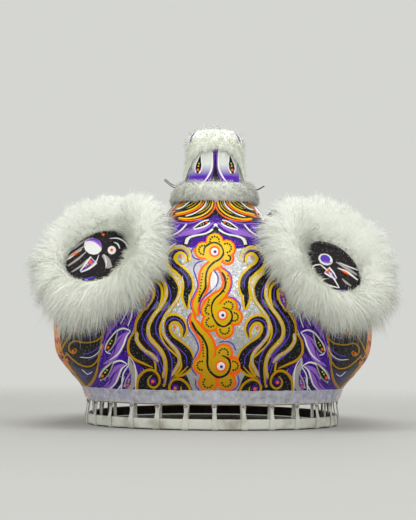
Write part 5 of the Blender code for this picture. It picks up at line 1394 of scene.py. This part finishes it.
leaf_black = lacquer("ear_black", (0.018, 0.013, 0.016), flakes=0.02, tilt=0.4, roughness=0.36)
leaf_purple = lacquer("ear_front_purple", (0.070, 0.012, 0.330), flakes=0.10)
ear_turns = np.linspace(0, math.tau, 96, endpoint=False)
ear_shares = np.linspace(1.0, 0.012, 26)
for side, word in ((-1, "left"), (1, "right")):
    middle, axes = ear_frame(side)
    ray = np.stack([np.cos(ear_turns), np.sin(ear_turns)], axis=-1) * leaf_radius(ear_turns)[:, None]
    flat = ray[:, None] * ear_shares[:, None]
    dish = np.broadcast_to(0.016 * (1 - ear_shares**2), flat.shape[:2])[..., None]
    back = middle + flat[..., :1] * axes[0] + flat[..., 1:] * axes[1] + dish * axes[2]
    front = back - 0.0025 * axes[2]
    sheet = np.concatenate([back[:, ::-1], front], axis=1)
    sheet = np.concatenate([sheet, sheet[:, :1]], axis=1)
    sheet_faces = grid_faces(96, 53)
    sheet_faces = [face[::-1] if side < 0 else face for face in sheet_faces]
    root = middle + EAR_ROOT[0] * axes[0] + EAR_ROOT[1] * axes[1]
    knuckle = turned_ring(((0.0047, -0.007), (0.0088, -0.007), (0.0096, -0.006), (0.0096, 0.006), (0.0088, 0.007),
                           (0.0047, 0.007)), root, axes)
    heading = math.atan2(EAR_ROOT[1], EAR_ROOT[0])
    reach = math.hypot(*EAR_ROOT)
    along = axes[0] * math.cos(heading) + axes[1] * math.sin(heading)
    beside = axes[1] * math.cos(heading) - axes[0] * math.sin(heading)
    arm_rings = []
    for share in np.linspace(0, 1, 8):
        centre = middle + along * (float(leaf_radius(heading)) * 0.90 * (1 - share) + (reach - 0.0085) * share)
        turns = np.linspace(0, math.tau, 12, endpoint=False)
        arm_rings.append([
            centre + beside * 0.0058 * math.copysign(abs(math.cos(t)) ** 0.5, math.cos(t))
            + axes[2] * 0.0029 * math.copysign(abs(math.sin(t)) ** 0.5, math.sin(t)) for t in turns
        ])
    arm = np.array(arm_rings)
    arm = np.concatenate([arm, arm[:, :1]], axis=1)
    arm_faces = grid_faces(8, 13, False) + [list(range(12)), list(range(7 * 13, 7 * 13 + 12))]
    corners, faces = join_parts([(sheet, sheet_faces), knuckle, (arm, arm_faces)])
    picks = [1 if 26 <= k % 52 < 52 else 0 for k in range(len(sheet_faces))]
    picks += [0] * (len(faces) - len(sheet_faces))
    leaf = add_mesh(f"ear_leaf_{word}", corners, faces, [leaf_black, leaf_purple], f"ear_{word}", picks)
    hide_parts(f"ear_{word}")
    leaf_tree = BVHTree.FromPolygons(back.reshape(-1, 3).tolist(), grid_faces(96, 26))
    window = open_coat(leaf_tree, from_photo)
    if side < 0:
        for route, widths in (
            (((86, 240), (74, 248), (61, 256)), (1, 2.6, 1.5)),
            (((86, 245), (76, 252), (63, 261)), (1, 2.2, 1.5)),
            (((86, 252), (78, 259), (68, 266)), (1, 2.2, 1.5)),
            (((88, 259), (81, 266), (72, 272)), (1, 2.0, 1.2)),
            (((103, 255), (107, 260), (110, 268)), (3, 6, 5)),
        ):
            brush(window, route, widths, grey, 1)
        for route, widths, finish in (
            (((80, 242.6), (70, 250), (60, 257)), (0.5, 1.2, 1), white),
            (((82, 249.6), (74, 255.4), (64, 262)), (0.5, 1.2, 1), white),
            (((79, 252), (75, 254.6), (71, 257)), (0.6, 2.2, 0.6), orange),
            (((104, 255), (106.4, 261), (106, 268.6)), (0.5, 1.6, 0.6), white),
            (((80, 283), (87, 279.4), (95, 277)), (0.6, 3.0, 1.0), violet),
            (((90, 266), (96, 262), (99, 255)), (0.6, 1.2, 0.6), white),
        ):
            brush(window, route, widths, finish, 2)
        dot(window, 93, 246.4, 8.2, white, 1.4, 1.14, 28)
        brush(window, ((86.6, 241), (93, 240), (99, 243), (102.4, 248.6)), (0.6, 3.4, 4.0, 0.6), lilac, 5)
        brush(window, ((90, 239.4), (96, 240.2), (100.4, 243.6)), (0.5, 2.0, 0.5), violet, 6)
        brush(window, ((80.6, 271.6), (86, 267.6), (94, 260)), (0.5, 6, 8), white, 2, grow=2.0)
        brush(window, ((80.6, 271.6), (86, 267.6), (93.6, 260.4)), (0.5, 5, 7), plum, 3)
        dot(window, 91, 262.4, 1.9, orange, 5)
        dot(window, 88, 264.6, 0.9, lemon, 5)
        dot(window, 86, 266.4, 0.8, lemon, 5)
        brush(window, ((109, 240.6), (118, 240), (125, 244), (127.4, 251)), (2, 9, 9, 2), black, 2, grow=2.4)
        brush(window, ((110, 238.8), (118, 238.6), (125, 242.6), (129, 250)), (0.6, 1.3, 1.3, 0.8), white, 4)
        brush(window, ((114, 242.4), (118, 244.4), (120, 249)), (0.6, 1.7, 0.6), white, 4)
        dot(window, 112, 250.4, 4.2, white, 3)
        dot(window, 112, 250.4, 1.9, orange, 5)
        dot(window, 103.4, 234.8, 1.5, orange, 3)
    else:
        dot(window, 325.4, 259.6, 5.6, white, 2, 1.35, 25)
        dot(window, 325.0, 259.2, 4.0, violet, 5, 1.3, 25)
        brush(window, ((322.4, 261.6), (327, 263), (331, 262.6)), (0.5, 1.6, 0.5), lilac, 8)
        for route, widths, finish, level in (
            (((320, 264.6), (313.6, 266), (312.4, 271.4), (318, 279), (327, 285), (339, 288)), (1, 1.6, 1.6, 1.6, 1.6, 1),
             white, 4),
            (((320, 264.6), (327.4, 271), (333.6, 279), (339, 288)), (1, 1.5, 1.5, 1), white, 4),
            (((336, 262), (346, 268), (357, 275)), (1, 3.0, 1.5), grey, 1),
            (((337.6, 268), (347, 272), (357.6, 280)), (1, 2.4, 1.2), white, 1),
            (((339, 262.6), (349, 267), (360, 271)), (0.6, 1.2, 1), white, 2),
            (((341, 270.4), (345, 272.6), (349, 275)), (0.6, 2.2, 0.6), orange, 3),
            (((342, 278.6), (346, 282.6), (351, 286)), (1, 2.4, 1), grey, 1),
            (((330, 290), (338, 291.4), (346, 290)), (0.6, 2.6, 1), violet, 2),
        ):
            brush(window, route, widths, finish, level)
        brush(window, ((336, 279), (331.6, 274.6), (326.6, 270)), (0.5, 5, 6.6), white, 2, grow=2.0)
        brush(window, ((336, 279), (331.6, 274.6), (327, 270.4)), (0.5, 4.4, 5.8), plum, 3)
        dot(window, 328.2, 271.4, 1.8, orange, 5)
        dot(window, 331, 273.8, 0.9, lemon, 5)
    close_coat(window, f"ear_window_{word}", f"ear_{word}")

steel = bpy.data.materials.new("brushed_steel")
steel.use_nodes = True
steel_shader = steel.node_tree.nodes["Principled BSDF"]
steel_place = node(steel.node_tree, "TexCoord").outputs["Object"]
steel_grain = node(steel.node_tree, "TexNoise", {"Vector": steel_place, "Scale": 700.0, "Detail": 3.0})
steel_shade = node(
    steel.node_tree, "Mix",
    {0: steel_grain.outputs["Fac"], 6: (0.30, 0.30, 0.31, 1), 7: (0.52, 0.52, 0.53, 1)}, data_type="RGBA",
)
steel.node_tree.links.new(steel_shade.outputs[2], steel_shader.inputs["Base Color"])
steel_shader.inputs["Metallic"].default_value = 1.0
steel_shader.inputs["Roughness"].default_value = 0.34
for name in ("ear_pin_left", "ear_pin_right", "jaw_pin_left", "jaw_pin_right"):
    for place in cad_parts[name].material_slots:
        place.material = steel

# Horn's paint and wires
# Two white petals that turn violet downwards meet a black line in the middle. A hairpin of blackened wire
# stands out at each side, above the collar.
horn_tree = BVHTree.FromPolygons(horn_outside.reshape(-1, 3).tolist(), grid_faces(120, 62))
petal_fade = lacquer("petal_fade", (0.72, 0.75, 0.70), fade=((0.100, 0.018, 0.420), 0.484, 0.508))
peak = open_coat(horn_tree, from_photo)
fill(peak, ((184, 188), (185, 172), (188, 158), (193, 146), (203, 141), (228, 141), (237, 146), (241, 158), (243, 172),
            (245, 188)), plum, 0, 3.0)
for mirror in (1, -1):
    def place_on_horn(points):
        return [(215.4 + mirror * (215.4 - x) * (1.0 if mirror > 0 else 1.04), y) for x, y in points]

    fill(peak, place_on_horn(((213, 141), (206, 146), (199, 153), (193.6, 162), (190, 172), (189, 186), (204, 187),
                              (209, 178), (212, 168))), petal_fade, 1, 3.0)
    brush(peak, place_on_horn(((212.6, 153), (212, 168), (208, 177.4), (202.6, 184))), (0.9, 1.8, 1.8, 1.0), white, 4)
    brush(peak, place_on_horn(((189.6, 169), (187.4, 176), (184.4, 184))), (1.0, 3.4, 4.0), black, 4)
    drop(peak, *place_on_horn(((201.4, 155), (198.4, 173.4))), 5.4, white, black, level=4)
brush(peak, ((215.2, 150), (215.2, 160), (215.3, 169), (215.4, 177), (215.5, 187)), (0.8, 1.1, 2.4, 6.5, 12), black, 4.6)
close_coat(peak, "horn_petals", "head")

front_peak = open_coat(horn_tree, from_ahead, both=True)
fill(front_peak, ((0, 468), (30, 468), (52, 472), (46, 520), (34, 548), (0, 556)), plum, 0, 4.0)
for route, widths, finish in (
    (((4, 540), (6, 510), (14, 490), (28, 478)), (1, 6, 10, 4), white),
    (((2, 548), (1.6, 515), (3, 478)), (1.2, 1.6, 5), black),
    (((20, 538), (26, 512), (36, 488)), (1, 7, 3), violet),
):
    brush(front_peak, route, widths, finish, 1)
close_coat(front_peak, "horn_front_petals", "head")

black_wire = bpy.data.materials.new("blackened_wire")
black_wire.use_nodes = True
wire_shader = black_wire.node_tree.nodes["Principled BSDF"]
wire_place = node(black_wire.node_tree, "TexCoord").outputs["Object"]
wire_rust = node(black_wire.node_tree, "TexNoise", {"Vector": wire_place, "Scale": 400.0, "Detail": 3.0})
wire_shade = node(
    black_wire.node_tree, "Mix",
    {0: wire_rust.outputs["Fac"], 6: (0.030, 0.028, 0.027, 1), 7: (0.16, 0.13, 0.11, 1)}, data_type="RGBA",
)
black_wire.node_tree.links.new(wire_shade.outputs[2], wire_shader.inputs["Base Color"])
wire_shader.inputs["Metallic"].default_value = 0.8
wire_shader.inputs["Roughness"].default_value = 0.45
for side, word in ((-1, "left"), (1, "right")):
    start = on_horn(side * math.pi / 2, (0.4755 - NECK_TOP - SEAT_GAP) / HORN_HEIGHT, 0.0004)
    out = np.array([side * math.cos(math.radians(6)), 0, math.sin(math.radians(6))])
    across, half = np.array([0, 0.40, 0.917] if side < 0 else [0, 0.95, 0.31]), 0.00225
    turns = np.linspace(0, math.pi, 20)
    along = np.linspace(0, 1, 16)[:, None]
    fall = -0.010 * np.sin(along * math.pi) - (0.0 if side < 0 else 0.010) * along
    leg = start + out * 0.038 * along + fall * np.array([0, 0, 1.0])
    bend = leg[-1] + (out * np.sin(turns)[:, None] - across * np.cos(turns)[:, None]) * half
    route = np.concatenate([leg[:-1] - across * half, bend, leg[-2::-1] + across * half])
    ahead = unit(np.gradient(route, axis=0))
    up = np.broadcast_to(np.cross(out, across), ahead.shape)
    level_side = unit(np.cross(ahead, up))
    turns = np.linspace(0, math.tau, 9)
    ring = route[:, None] + 0.0009 * (
        up[:, None] * np.sin(turns)[:, None] + level_side[:, None] * np.cos(turns)[:, None]
    )
    ends = [list(range(8)), [(len(route) - 1) * 9 + k for k in range(8)][::-1]]
    wire = add_mesh(f"hairpin_{word}", ring, grid_faces(len(route), 9, False) + ends, black_wire, "head")
    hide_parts(f"horn_wire_{word}")

# Face
# The photograph shows only the back, so the face follows the usual lion head: domed eyes below rolled lids,
# fur brows, a broad three-lobed nose and fur along the lip, all on the same painted shell.
BOSS_GAP = 0.0018
EYE_GAP = 0.0010
EYE_SPREAD = 0.100
EYE_HEIGHT = NECK_TOP - 0.157
EYE_RADIUS = 0.042
EYE_BULGE = 0.036
LID_WIDTH = 0.024
LID_BULGE = 0.030
BROW_WIDTH = 0.036
LIP_FUR_WIDTH = 0.030
table_heights = np.linspace(SHELL_FOOT, NECK_TOP, 90)
table_turns = np.linspace(math.pi, math.pi / 2, 160)
table_sides = np.linspace(0, 0.50, 140)
face_table = []
for z in table_heights:
    row = bare_shell(table_turns, np.full(160, z))
    spans = np.concatenate([[0], np.cumsum(np.linalg.norm(np.diff(row, axis=0), axis=1))])
    face_table.append(np.interp(table_sides, spans, table_turns))
face_table = np.array(face_table)


def face_angle(sideways, z):
    """The angle at which the face lies so far sideways of its middle, measured along the shell."""
    sideways, z = np.broadcast_arrays(np.asarray(sideways, float), np.asarray(z, float))
    i = np.clip((z - SHELL_FOOT) / (NECK_TOP - SHELL_FOOT) * 89, 0, 88.999)
    j = np.clip(np.abs(sideways) / 0.50 * 139, 0, 138.999)
    a, b = i.astype(int), j.astype(int)
    s, t = i - a, j - b
    turn = (
        face_table[a, b] * (1 - s) * (1 - t) + face_table[a + 1, b] * s * (1 - t)
        + face_table[a, b + 1] * (1 - s) * t + face_table[a + 1, b + 1] * s * t
    )
    return np.where(sideways < 0, -turn, turn)


def on_face(sideways, z, lift):
    """Points off the face, by a lift along the shell's normal."""
    return on_shell(face_angle(sideways, z), z, np.asarray(lift, float) + 1e-9)


def boss_mesh(place, outline, height, gap, rings=22, spokes=84):
    """Corners and faces of a closed dome on the face, from an outline of (sideways, up) at turns."""
    turns = np.linspace(0, math.tau, spokes, endpoint=False)
    shares = np.cos(np.linspace(0, math.pi / 2, rings)) * 0.998 + 0.002
    across, up = outline(turns)
    x = place[0] + across[:, None] * shares
    z = place[1] + up[:, None] * shares
    high = on_face(x, z, gap + height(shares))
    low = on_face(x[:, :1], z[:, :1], np.full((spokes, 1), gap * 0.5))
    points = np.concatenate([low, high], axis=1)
    rows = rings + 1
    faces = grid_faces(spokes, rows) + [[k * rows + rows - 1 for k in range(spokes)]]
    faces += [[k * rows for k in range(spokes)][::-1]]
    return points, faces


def strip_mesh(route, width, loft, gap, across=12):
    """Corners and faces of a rounded strip on the face along a route of (sideways, height)."""
    count = len(route)
    share = np.linspace(0, 1, count)
    slim = np.sin(math.pi * (0.08 + 0.84 * share))
    ahead = unit(np.gradient(route, axis=0))
    beside = np.stack([-ahead[:, 1], ahead[:, 0]], axis=-1)
    turns = np.linspace(math.pi, 0, across)
    flat = route[:, None] + beside[:, None] * (np.cos(turns) * width / 2)[:, None] * slim[:, None, None]
    lift = gap + loft * slim[:, None] * np.sin(turns) ** 0.8
    points = on_face(flat[..., 0], flat[..., 1], lift)
    faces = grid_faces(count, across, False)
    faces += [list(range(across))[::-1], [(count - 1) * across + k for k in range(across)]]
    return points, faces


def arc_route(side, radius, start, end, count):
    turns = np.radians(np.linspace(start, end, count))
    return np.stack([side * (EYE_SPREAD + radius * np.cos(turns)), EYE_HEIGHT + radius * np.sin(turns)], axis=-1)


face_gold = lacquer("nose_gold", (0.86, 0.36, 0.020), flakes=0.18, tilt=0.5, metal=0.2)
lid_violet = lacquer("lid_violet", (0.120, 0.035, 0.480), flakes=0.12, tilt=0.5)
enamel = bpy.data.materials.new("eye_enamel_white")
enamel.use_nodes = True
enamel_shader = enamel.node_tree.nodes["Principled BSDF"]
enamel_place = node(enamel.node_tree, "TexCoord").outputs["Object"]
enamel_cloud = node(enamel.node_tree, "TexNoise", {"Vector": enamel_place, "Scale": 60.0, "Detail": 2.0})
enamel_shade = node(
    enamel.node_tree, "Mix",
    {0: enamel_cloud.outputs["Fac"], 6: (0.84, 0.83, 0.79, 1), 7: (0.74, 0.73, 0.68, 1)}, data_type="RGBA",
)
enamel.node_tree.links.new(enamel_shade.outputs[2], enamel_shader.inputs["Base Color"])
enamel_shader.inputs["Roughness"].default_value = 0.12
enamel_shader.inputs["Coat Weight"].default_value = 1.0
enamel_shader.inputs["Coat Roughness"].default_value = 0.03

nose_mesh = boss_mesh(
    (0.0, 0.214),
    lambda t: (0.062 * np.cos(t) * (1 + 0.1 * np.cos(3 * t - 1.5 * math.pi)),
               0.036 * np.sin(t) * (1 + 0.1 * np.cos(3 * t - 1.5 * math.pi))),
    lambda share: 0.003 + 0.037 * np.sqrt(np.clip(1 - share**2, 0, 1)), BOSS_GAP,
)
nose = add_mesh("domed_nose", *nose_mesh, face_gold, "head")
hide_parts("nose")
nose_tree = BVHTree.FromPolygons(nose_mesh[0].reshape(-1, 3).tolist(), nose_mesh[1])
nose_coat = open_coat(nose_tree, from_ahead, both=True)
fill(nose_coat, ((16, 199), (24, 196), (31, 201), (29, 208), (20, 209)), black, 1, 2.0)
brush(nose_coat, ((2, 232), (6, 222), (15, 217), (28, 217), (40, 222), (49, 219), (52, 209)), 2.4, black, 2)
brush(nose_coat, ((6, 240), (18, 238), (34, 236), (44, 230)), 2.0, violet, 2)
brush(nose_coat, ((10, 191), (9, 200), (12, 209), (22, 214)), 1.8, white, 3)
close_coat(nose_coat, "nose_lines", "head")

for side, word in ((-1, "left"), (1, "right")):
    eye_mesh = boss_mesh(
        (side * EYE_SPREAD, EYE_HEIGHT), lambda t: (EYE_RADIUS * np.cos(t), EYE_RADIUS * np.sin(t)),
        lambda share: 0.002 + (EYE_BULGE - 0.002) * np.sqrt(np.clip(1 - share**2, 0, 1)), EYE_GAP,
    )
    eye = add_mesh(f"enamel_eye_{word}", *eye_mesh, enamel, "head")
    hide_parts(f"eye_{word}")
    eye_tree = BVHTree.FromPolygons(eye_mesh[0].reshape(-1, 3).tolist(), eye_mesh[1])
    heart = Vector(on_face(side * EYE_SPREAD, EYE_HEIGHT, 0.0))
    gaze = (Vector(on_face(side * EYE_SPREAD, EYE_HEIGHT, 0.03)) - heart).normalized()
    level_way = Vector((0, 0, 1)).cross(gaze).normalized()
    upwards = gaze.cross(level_way)

    def at_eye(x, y):
        """A line of sight square to this eye, in millimetres from its middle."""
        return heart + gaze * 0.2 + level_way * (x / 1000) + upwards * (y / 1000), -gaze

    eye_coat = open_coat(eye_tree, at_eye)
    for radius, finish, level in ((27, violet, 0), (24.5, gold, 1), (20, orange, 2), (15, black, 3)):
        turns = np.linspace(0, math.tau, 40, endpoint=False)
        fill(eye_coat, [(radius * math.cos(t), radius * math.sin(t) - 3) for t in turns], finish, level, 2.5)
    # the two white dots on the pupil are a painted highlight
    dot(eye_coat, -5, 4, 3.4, white, 5)
    dot(eye_coat, 5.5, -7, 1.6, white, 5)
    close_coat(eye_coat, f"eye_rings_{word}", "head")

    lid_radius = EYE_RADIUS + LID_WIDTH / 2 + 0.0024
    lid_points, lid_faces = strip_mesh(arc_route(side, lid_radius, -8, 188, 70), LID_WIDTH, LID_BULGE, EYE_GAP, 16)
    lid = add_mesh(f"rolled_lid_{word}", lid_points, lid_faces, lid_violet, "head")
    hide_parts(f"eyelid_{word}")
    lid_tree = BVHTree.FromPolygons(lid_points.reshape(-1, 3).tolist(), lid_faces)
    lid_coat = open_coat(lid_tree, at_eye)
    for k in range(15):
        turn = math.radians(6 + 12 * k)
        x, y = 1000 * lid_radius * math.cos(turn) * 0.92, 1000 * lid_radius * math.sin(turn) * 0.92
        dot(lid_coat, x, y, 2.2, orange if k % 2 else lemon, 2)
    turns = np.radians(np.linspace(2, 178, 24))
    brush(lid_coat, [(1020 * lid_radius * math.cos(t), 1020 * lid_radius * math.sin(t)) for t in turns], 2.0, gold, 1)
    close_coat(lid_coat, f"lid_dots_{word}", "head")

    brow_line = arc_route(side, EYE_RADIUS + LID_WIDTH + BROW_WIDTH * 0.55 + 0.0048, 8, 150, 60)
    brow_slim = np.sin(math.pi * (0.08 + 0.84 * np.linspace(0, 1, 60)))
    brow_beside = unit(np.gradient(brow_line, axis=0))
    brow_beside = np.stack([-brow_beside[:, 1], brow_beside[:, 0]], axis=-1) * (-side)
    brow_step = 1 if side < 0 else -1

    def brow_pad(u, v):
        k = np.clip(u if brow_step > 0 else 1 - u, 0, 1) * 59
        x, z, slim, bx, bz = (np.interp(k, np.arange(60), row) for row in
                              (brow_line[:, 0], brow_line[:, 1], brow_slim, brow_beside[:, 0], brow_beside[:, 1]))
        half = (2 * v - 1) * BROW_WIDTH * 0.42 * slim
        lift = 0.0016 + 0.009 * slim * np.sqrt(np.clip(1 - (2 * v - 1) ** 2, 0, 1))
        return on_face(x + bx * half, z + bz * half, lift)

    brow_cloth = pile_cloth(f"brow_cloth_{word}", "head", brow_pad, 60, 12, False)
    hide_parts(f"brow_fur_{word}")
    pile_hair(
        f"brow_pile_{word}", "head", brow_pad, 5000, lambda u, v: (1.0, 0.0, -0.55, 0.45),
        lambda u, v: 0.018 + 0.004 * np.sin(19 * u), droop=0.15, seed=40 + side, width=0.0009, lock_size=40,
    )


def lip_pad(u, v):
    angle = np.radians(232 - 104 * np.clip(u, 0, 1))
    z = edge_height(angle) + 0.001 + LIP_FUR_WIDTH * v
    lift = 0.0022 + 0.0085 * np.sqrt(np.clip(1 - (2 * v - 1) ** 2, 0, 1))
    return on_shell(angle, z, lift)


lip_cloth = pile_cloth("lip_cloth", "head", lip_pad, 140, 12, False)
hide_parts("lip_fur")
pile_hair(
    "lip_pile", "head", lip_pad, 9000, lambda u, v: (1.0, 0.0, -0.65, -0.1),
    lambda u, v: 0.020 + 0.004 * np.sin(31 * u), droop=0.4, seed=51, width=0.0010, lock_size=40,
)

# Ornament of the face
# The same painted flames and petals, mirrored over the middle: violet cheeks beside the muzzle, gold lines
# round the eyes, and a crest of feather lines on the forehead.
face_coat = open_coat(shell_tree, from_ahead, both=True)
fill(face_coat, ((0, 440), (30, 436), (52, 412), (44, 392), (0, 400)), black, 0)
fill(face_coat, ((0, 300), (26, 318), (40, 350), (26, 390), (0, 396)), orange, 0)
fill(face_coat, ((0, 306), (20, 322), (32, 350), (20, 384), (0, 388)), gold, 1)
fill(face_coat, ((16, 178), (60, 186), (110, 208), (160, 226), (196, 222), (214, 190), (206, 150), (180, 120), (150, 122),
                 (100, 178), (50, 172)), purple, 0)
for route, widths, finish, level in (
    (((4, 436), (6, 414), (18, 404), (40, 400)), (3, 4, 4, 2), gold, 1),
    (((14, 436), (18, 420), (30, 412), (48, 410)), (2, 3, 3, 1), orange, 1),
    (((24, 434), (30, 424), (42, 418)), (2, 2.5, 1), white, 1),
    (((4, 330), (14, 340), (14, 356), (4, 366)), (3, 3, 3, 3), black, 3),
    (((0, 320), (0, 376)), (2, 2), black, 3),
    (((30, 306), (52, 286), (78, 262), (112, 248), (146, 256), (166, 276)), (4, 7, 8, 8, 7, 3), gold, 1),
    (((34, 300), (56, 276), (84, 250), (116, 238), (152, 246), (174, 268)), (2, 3, 3.5, 3.5, 3, 2), black, 2),
    (((40, 290), (62, 264), (92, 240), (124, 230), (158, 238), (182, 262)), (2, 3, 3.5, 3.5, 3, 2), orange, 1),
    (((170, 300), (182, 330), (176, 364), (150, 392), (112, 410)), (3, 7, 8, 7, 3), black, 1),
    (((172, 298), (190, 330), (184, 368), (156, 398), (116, 418)), (2, 3.5, 4, 3.5, 2), gold, 2),
    (((176, 290), (200, 326), (196, 366), (168, 402)), (2, 4, 4, 2), violet, 1),
    (((30, 190), (70, 196), (110, 214), (150, 218)), (2, 6, 8, 3), lilac, 1),
    (((60, 180), (104, 192), (146, 204), (186, 196)), (2, 5, 7, 3), lilac, 1),
    (((118, 170), (150, 180), (184, 176), (200, 160)), (2, 5, 6, 3), lilac, 1),
    (((28, 196), (70, 204), (112, 222), (156, 230), (200, 222)), (1.5, 3, 3, 3, 2), white, 2),
    (((110, 180), (146, 190), (182, 186)), (1.5, 2.5, 1.5), white, 2),
    (((205, 250), (222, 280), (216, 316), (196, 350)), (3, 8, 8, 3), black, 1),
    (((212, 244), (232, 280), (226, 320), (204, 358)), (2, 3.5, 3.5, 2), gold, 2),
):
    brush(face_coat, route, widths, finish, level)
for tip, end in (((92, 196), (66, 190)), ((136, 212), (108, 204)), ((176, 206), (148, 200)), ((190, 170), (164, 168))):
    drop(face_coat, tip, end, 10, white, black)
close_coat(face_coat, "face_flames", "head")

# Jaw
# A bent wall with a floor that turns on a pin inside each cheek, lacquered black, with a beard of fur
# round its front and a red tongue.
JAW_LOW = 0.042
JAW_WALL = 0.006
jaw_width, _, jaw_front, _ = (float(value) for value in shell_section(SHELL_FOOT))
jaw_width -= 0.030
jaw_front -= 0.004
jaw_reach = math.acos((0.085 / jaw_front) ** (SECTION_POWER / 2))


def jaw_wall(turn, inset, z):
    """Points of the jaw's wall at turns from the middle of its front, set in from its outer face."""
    turn, inset, z = np.broadcast_arrays(*(np.asarray(value, float) for value in (turn, inset, z)))
    sine, cosine = np.sin(turn), np.cos(turn)
    across = (jaw_width - inset) * np.sign(sine) * np.abs(sine) ** (2 / SECTION_POWER)
    along = (jaw_front - inset) * np.abs(cosine) ** (2 / SECTION_POWER)
    return np.stack([across, PIVOT_Y + along, z], axis=-1)


def jaw_edges(turn):
    back = np.minimum(np.abs(turn) / jaw_reach, 1.0) ** 3
    return JAW_LOW + (0.068 - JAW_LOW) * back, 0.090 + (0.088 - 0.090) * back


tongue_red = lacquer("tongue_red", (0.62, 0.020, 0.020), thin=0.3)
jaw_turns = np.linspace(-jaw_reach * 1.04, jaw_reach * 1.04, 140)
low, high = jaw_edges(jaw_turns)
loop = [(0.0006, low), (0.0, low + 0.0008), (0.0, high - 0.001), (0.001, high), (JAW_WALL - 0.001, high),
        (JAW_WALL, high - 0.001), (JAW_WALL, low + 0.0008), (JAW_WALL - 0.0006, low), (0.0006, low)]
wall_points = np.stack([jaw_wall(jaw_turns, inset, z) for inset, z in loop], axis=1)
wall_faces = grid_faces(140, 9, False) + [list(range(8))[::-1], [139 * 9 + k for k in range(8)]]
floor_turns = np.linspace(-jaw_reach * 0.62, jaw_reach * 0.62, 60)
floor_rim = jaw_wall(floor_turns, JAW_WALL / 2, 0.0)
floor_rings = np.stack([floor_rim + np.array([0, 0, z]) for z in (JAW_LOW + 0.004, JAW_LOW + 0.008)])
floor_faces = [list(range(60)), list(range(60, 120))[::-1]]
floor_faces += [(k, k + 60, (k + 1) % 60 + 60, (k + 1) % 60) for k in range(60)]
jaw_corners, jaw_faces = join_parts([(wall_points, wall_faces), (floor_rings, floor_faces)])
jaw = add_mesh("bent_jaw", jaw_corners, jaw_faces, [black, tongue_red], "jaw",
               [1 if k >= len(wall_faces) else 0 for k in range(len(jaw_faces))])
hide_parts("jaw")
tongue_rows = []
for share in np.linspace(0, 1, 40):
    half = 0.052 * math.sqrt(max(1 - (2 * max(share, 0.5) - 1) ** 2.6, 0.0)) + 0.0004
    y = 0.120 + share * 0.110
    shape = np.linspace(-1, 1, 25)
    rise = 0.0058 * np.sqrt(np.clip(1 - shape**2, 0, 1)) * (1 - 0.35 * np.exp(-(shape / 0.16) ** 2))
    tongue_rows.append(np.stack([shape * half, np.full(25, y), JAW_LOW + 0.0082 + rise], axis=-1))
tongue = add_mesh("painted_tongue", np.array(tongue_rows), [f[::-1] for f in grid_faces(40, 25, False)], tongue_red, "jaw")


def jaw_pad(u, v):
    turn = math.radians(40) * (1 - 2 * u)
    low, high = jaw_edges(turn)
    return jaw_wall(turn, -0.0015 - 0.0062 * np.sin(math.pi * np.clip(v, 0, 1)), high - (high - low + 0.003) * v)


beard_cloth = pile_cloth("beard_cloth", "jaw", jaw_pad, 110, 12, False)
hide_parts("jaw_fur")
pile_hair(
    "beard_pile", "jaw", jaw_pad, 7500, lambda u, v: (1.0, 0.0, 0.5, -0.25),
    lambda u, v: 0.016 + 0.006 * v + 0.003 * np.sin(27 * u), droop=0.4, seed=61, width=0.0010, lock_size=40,
)
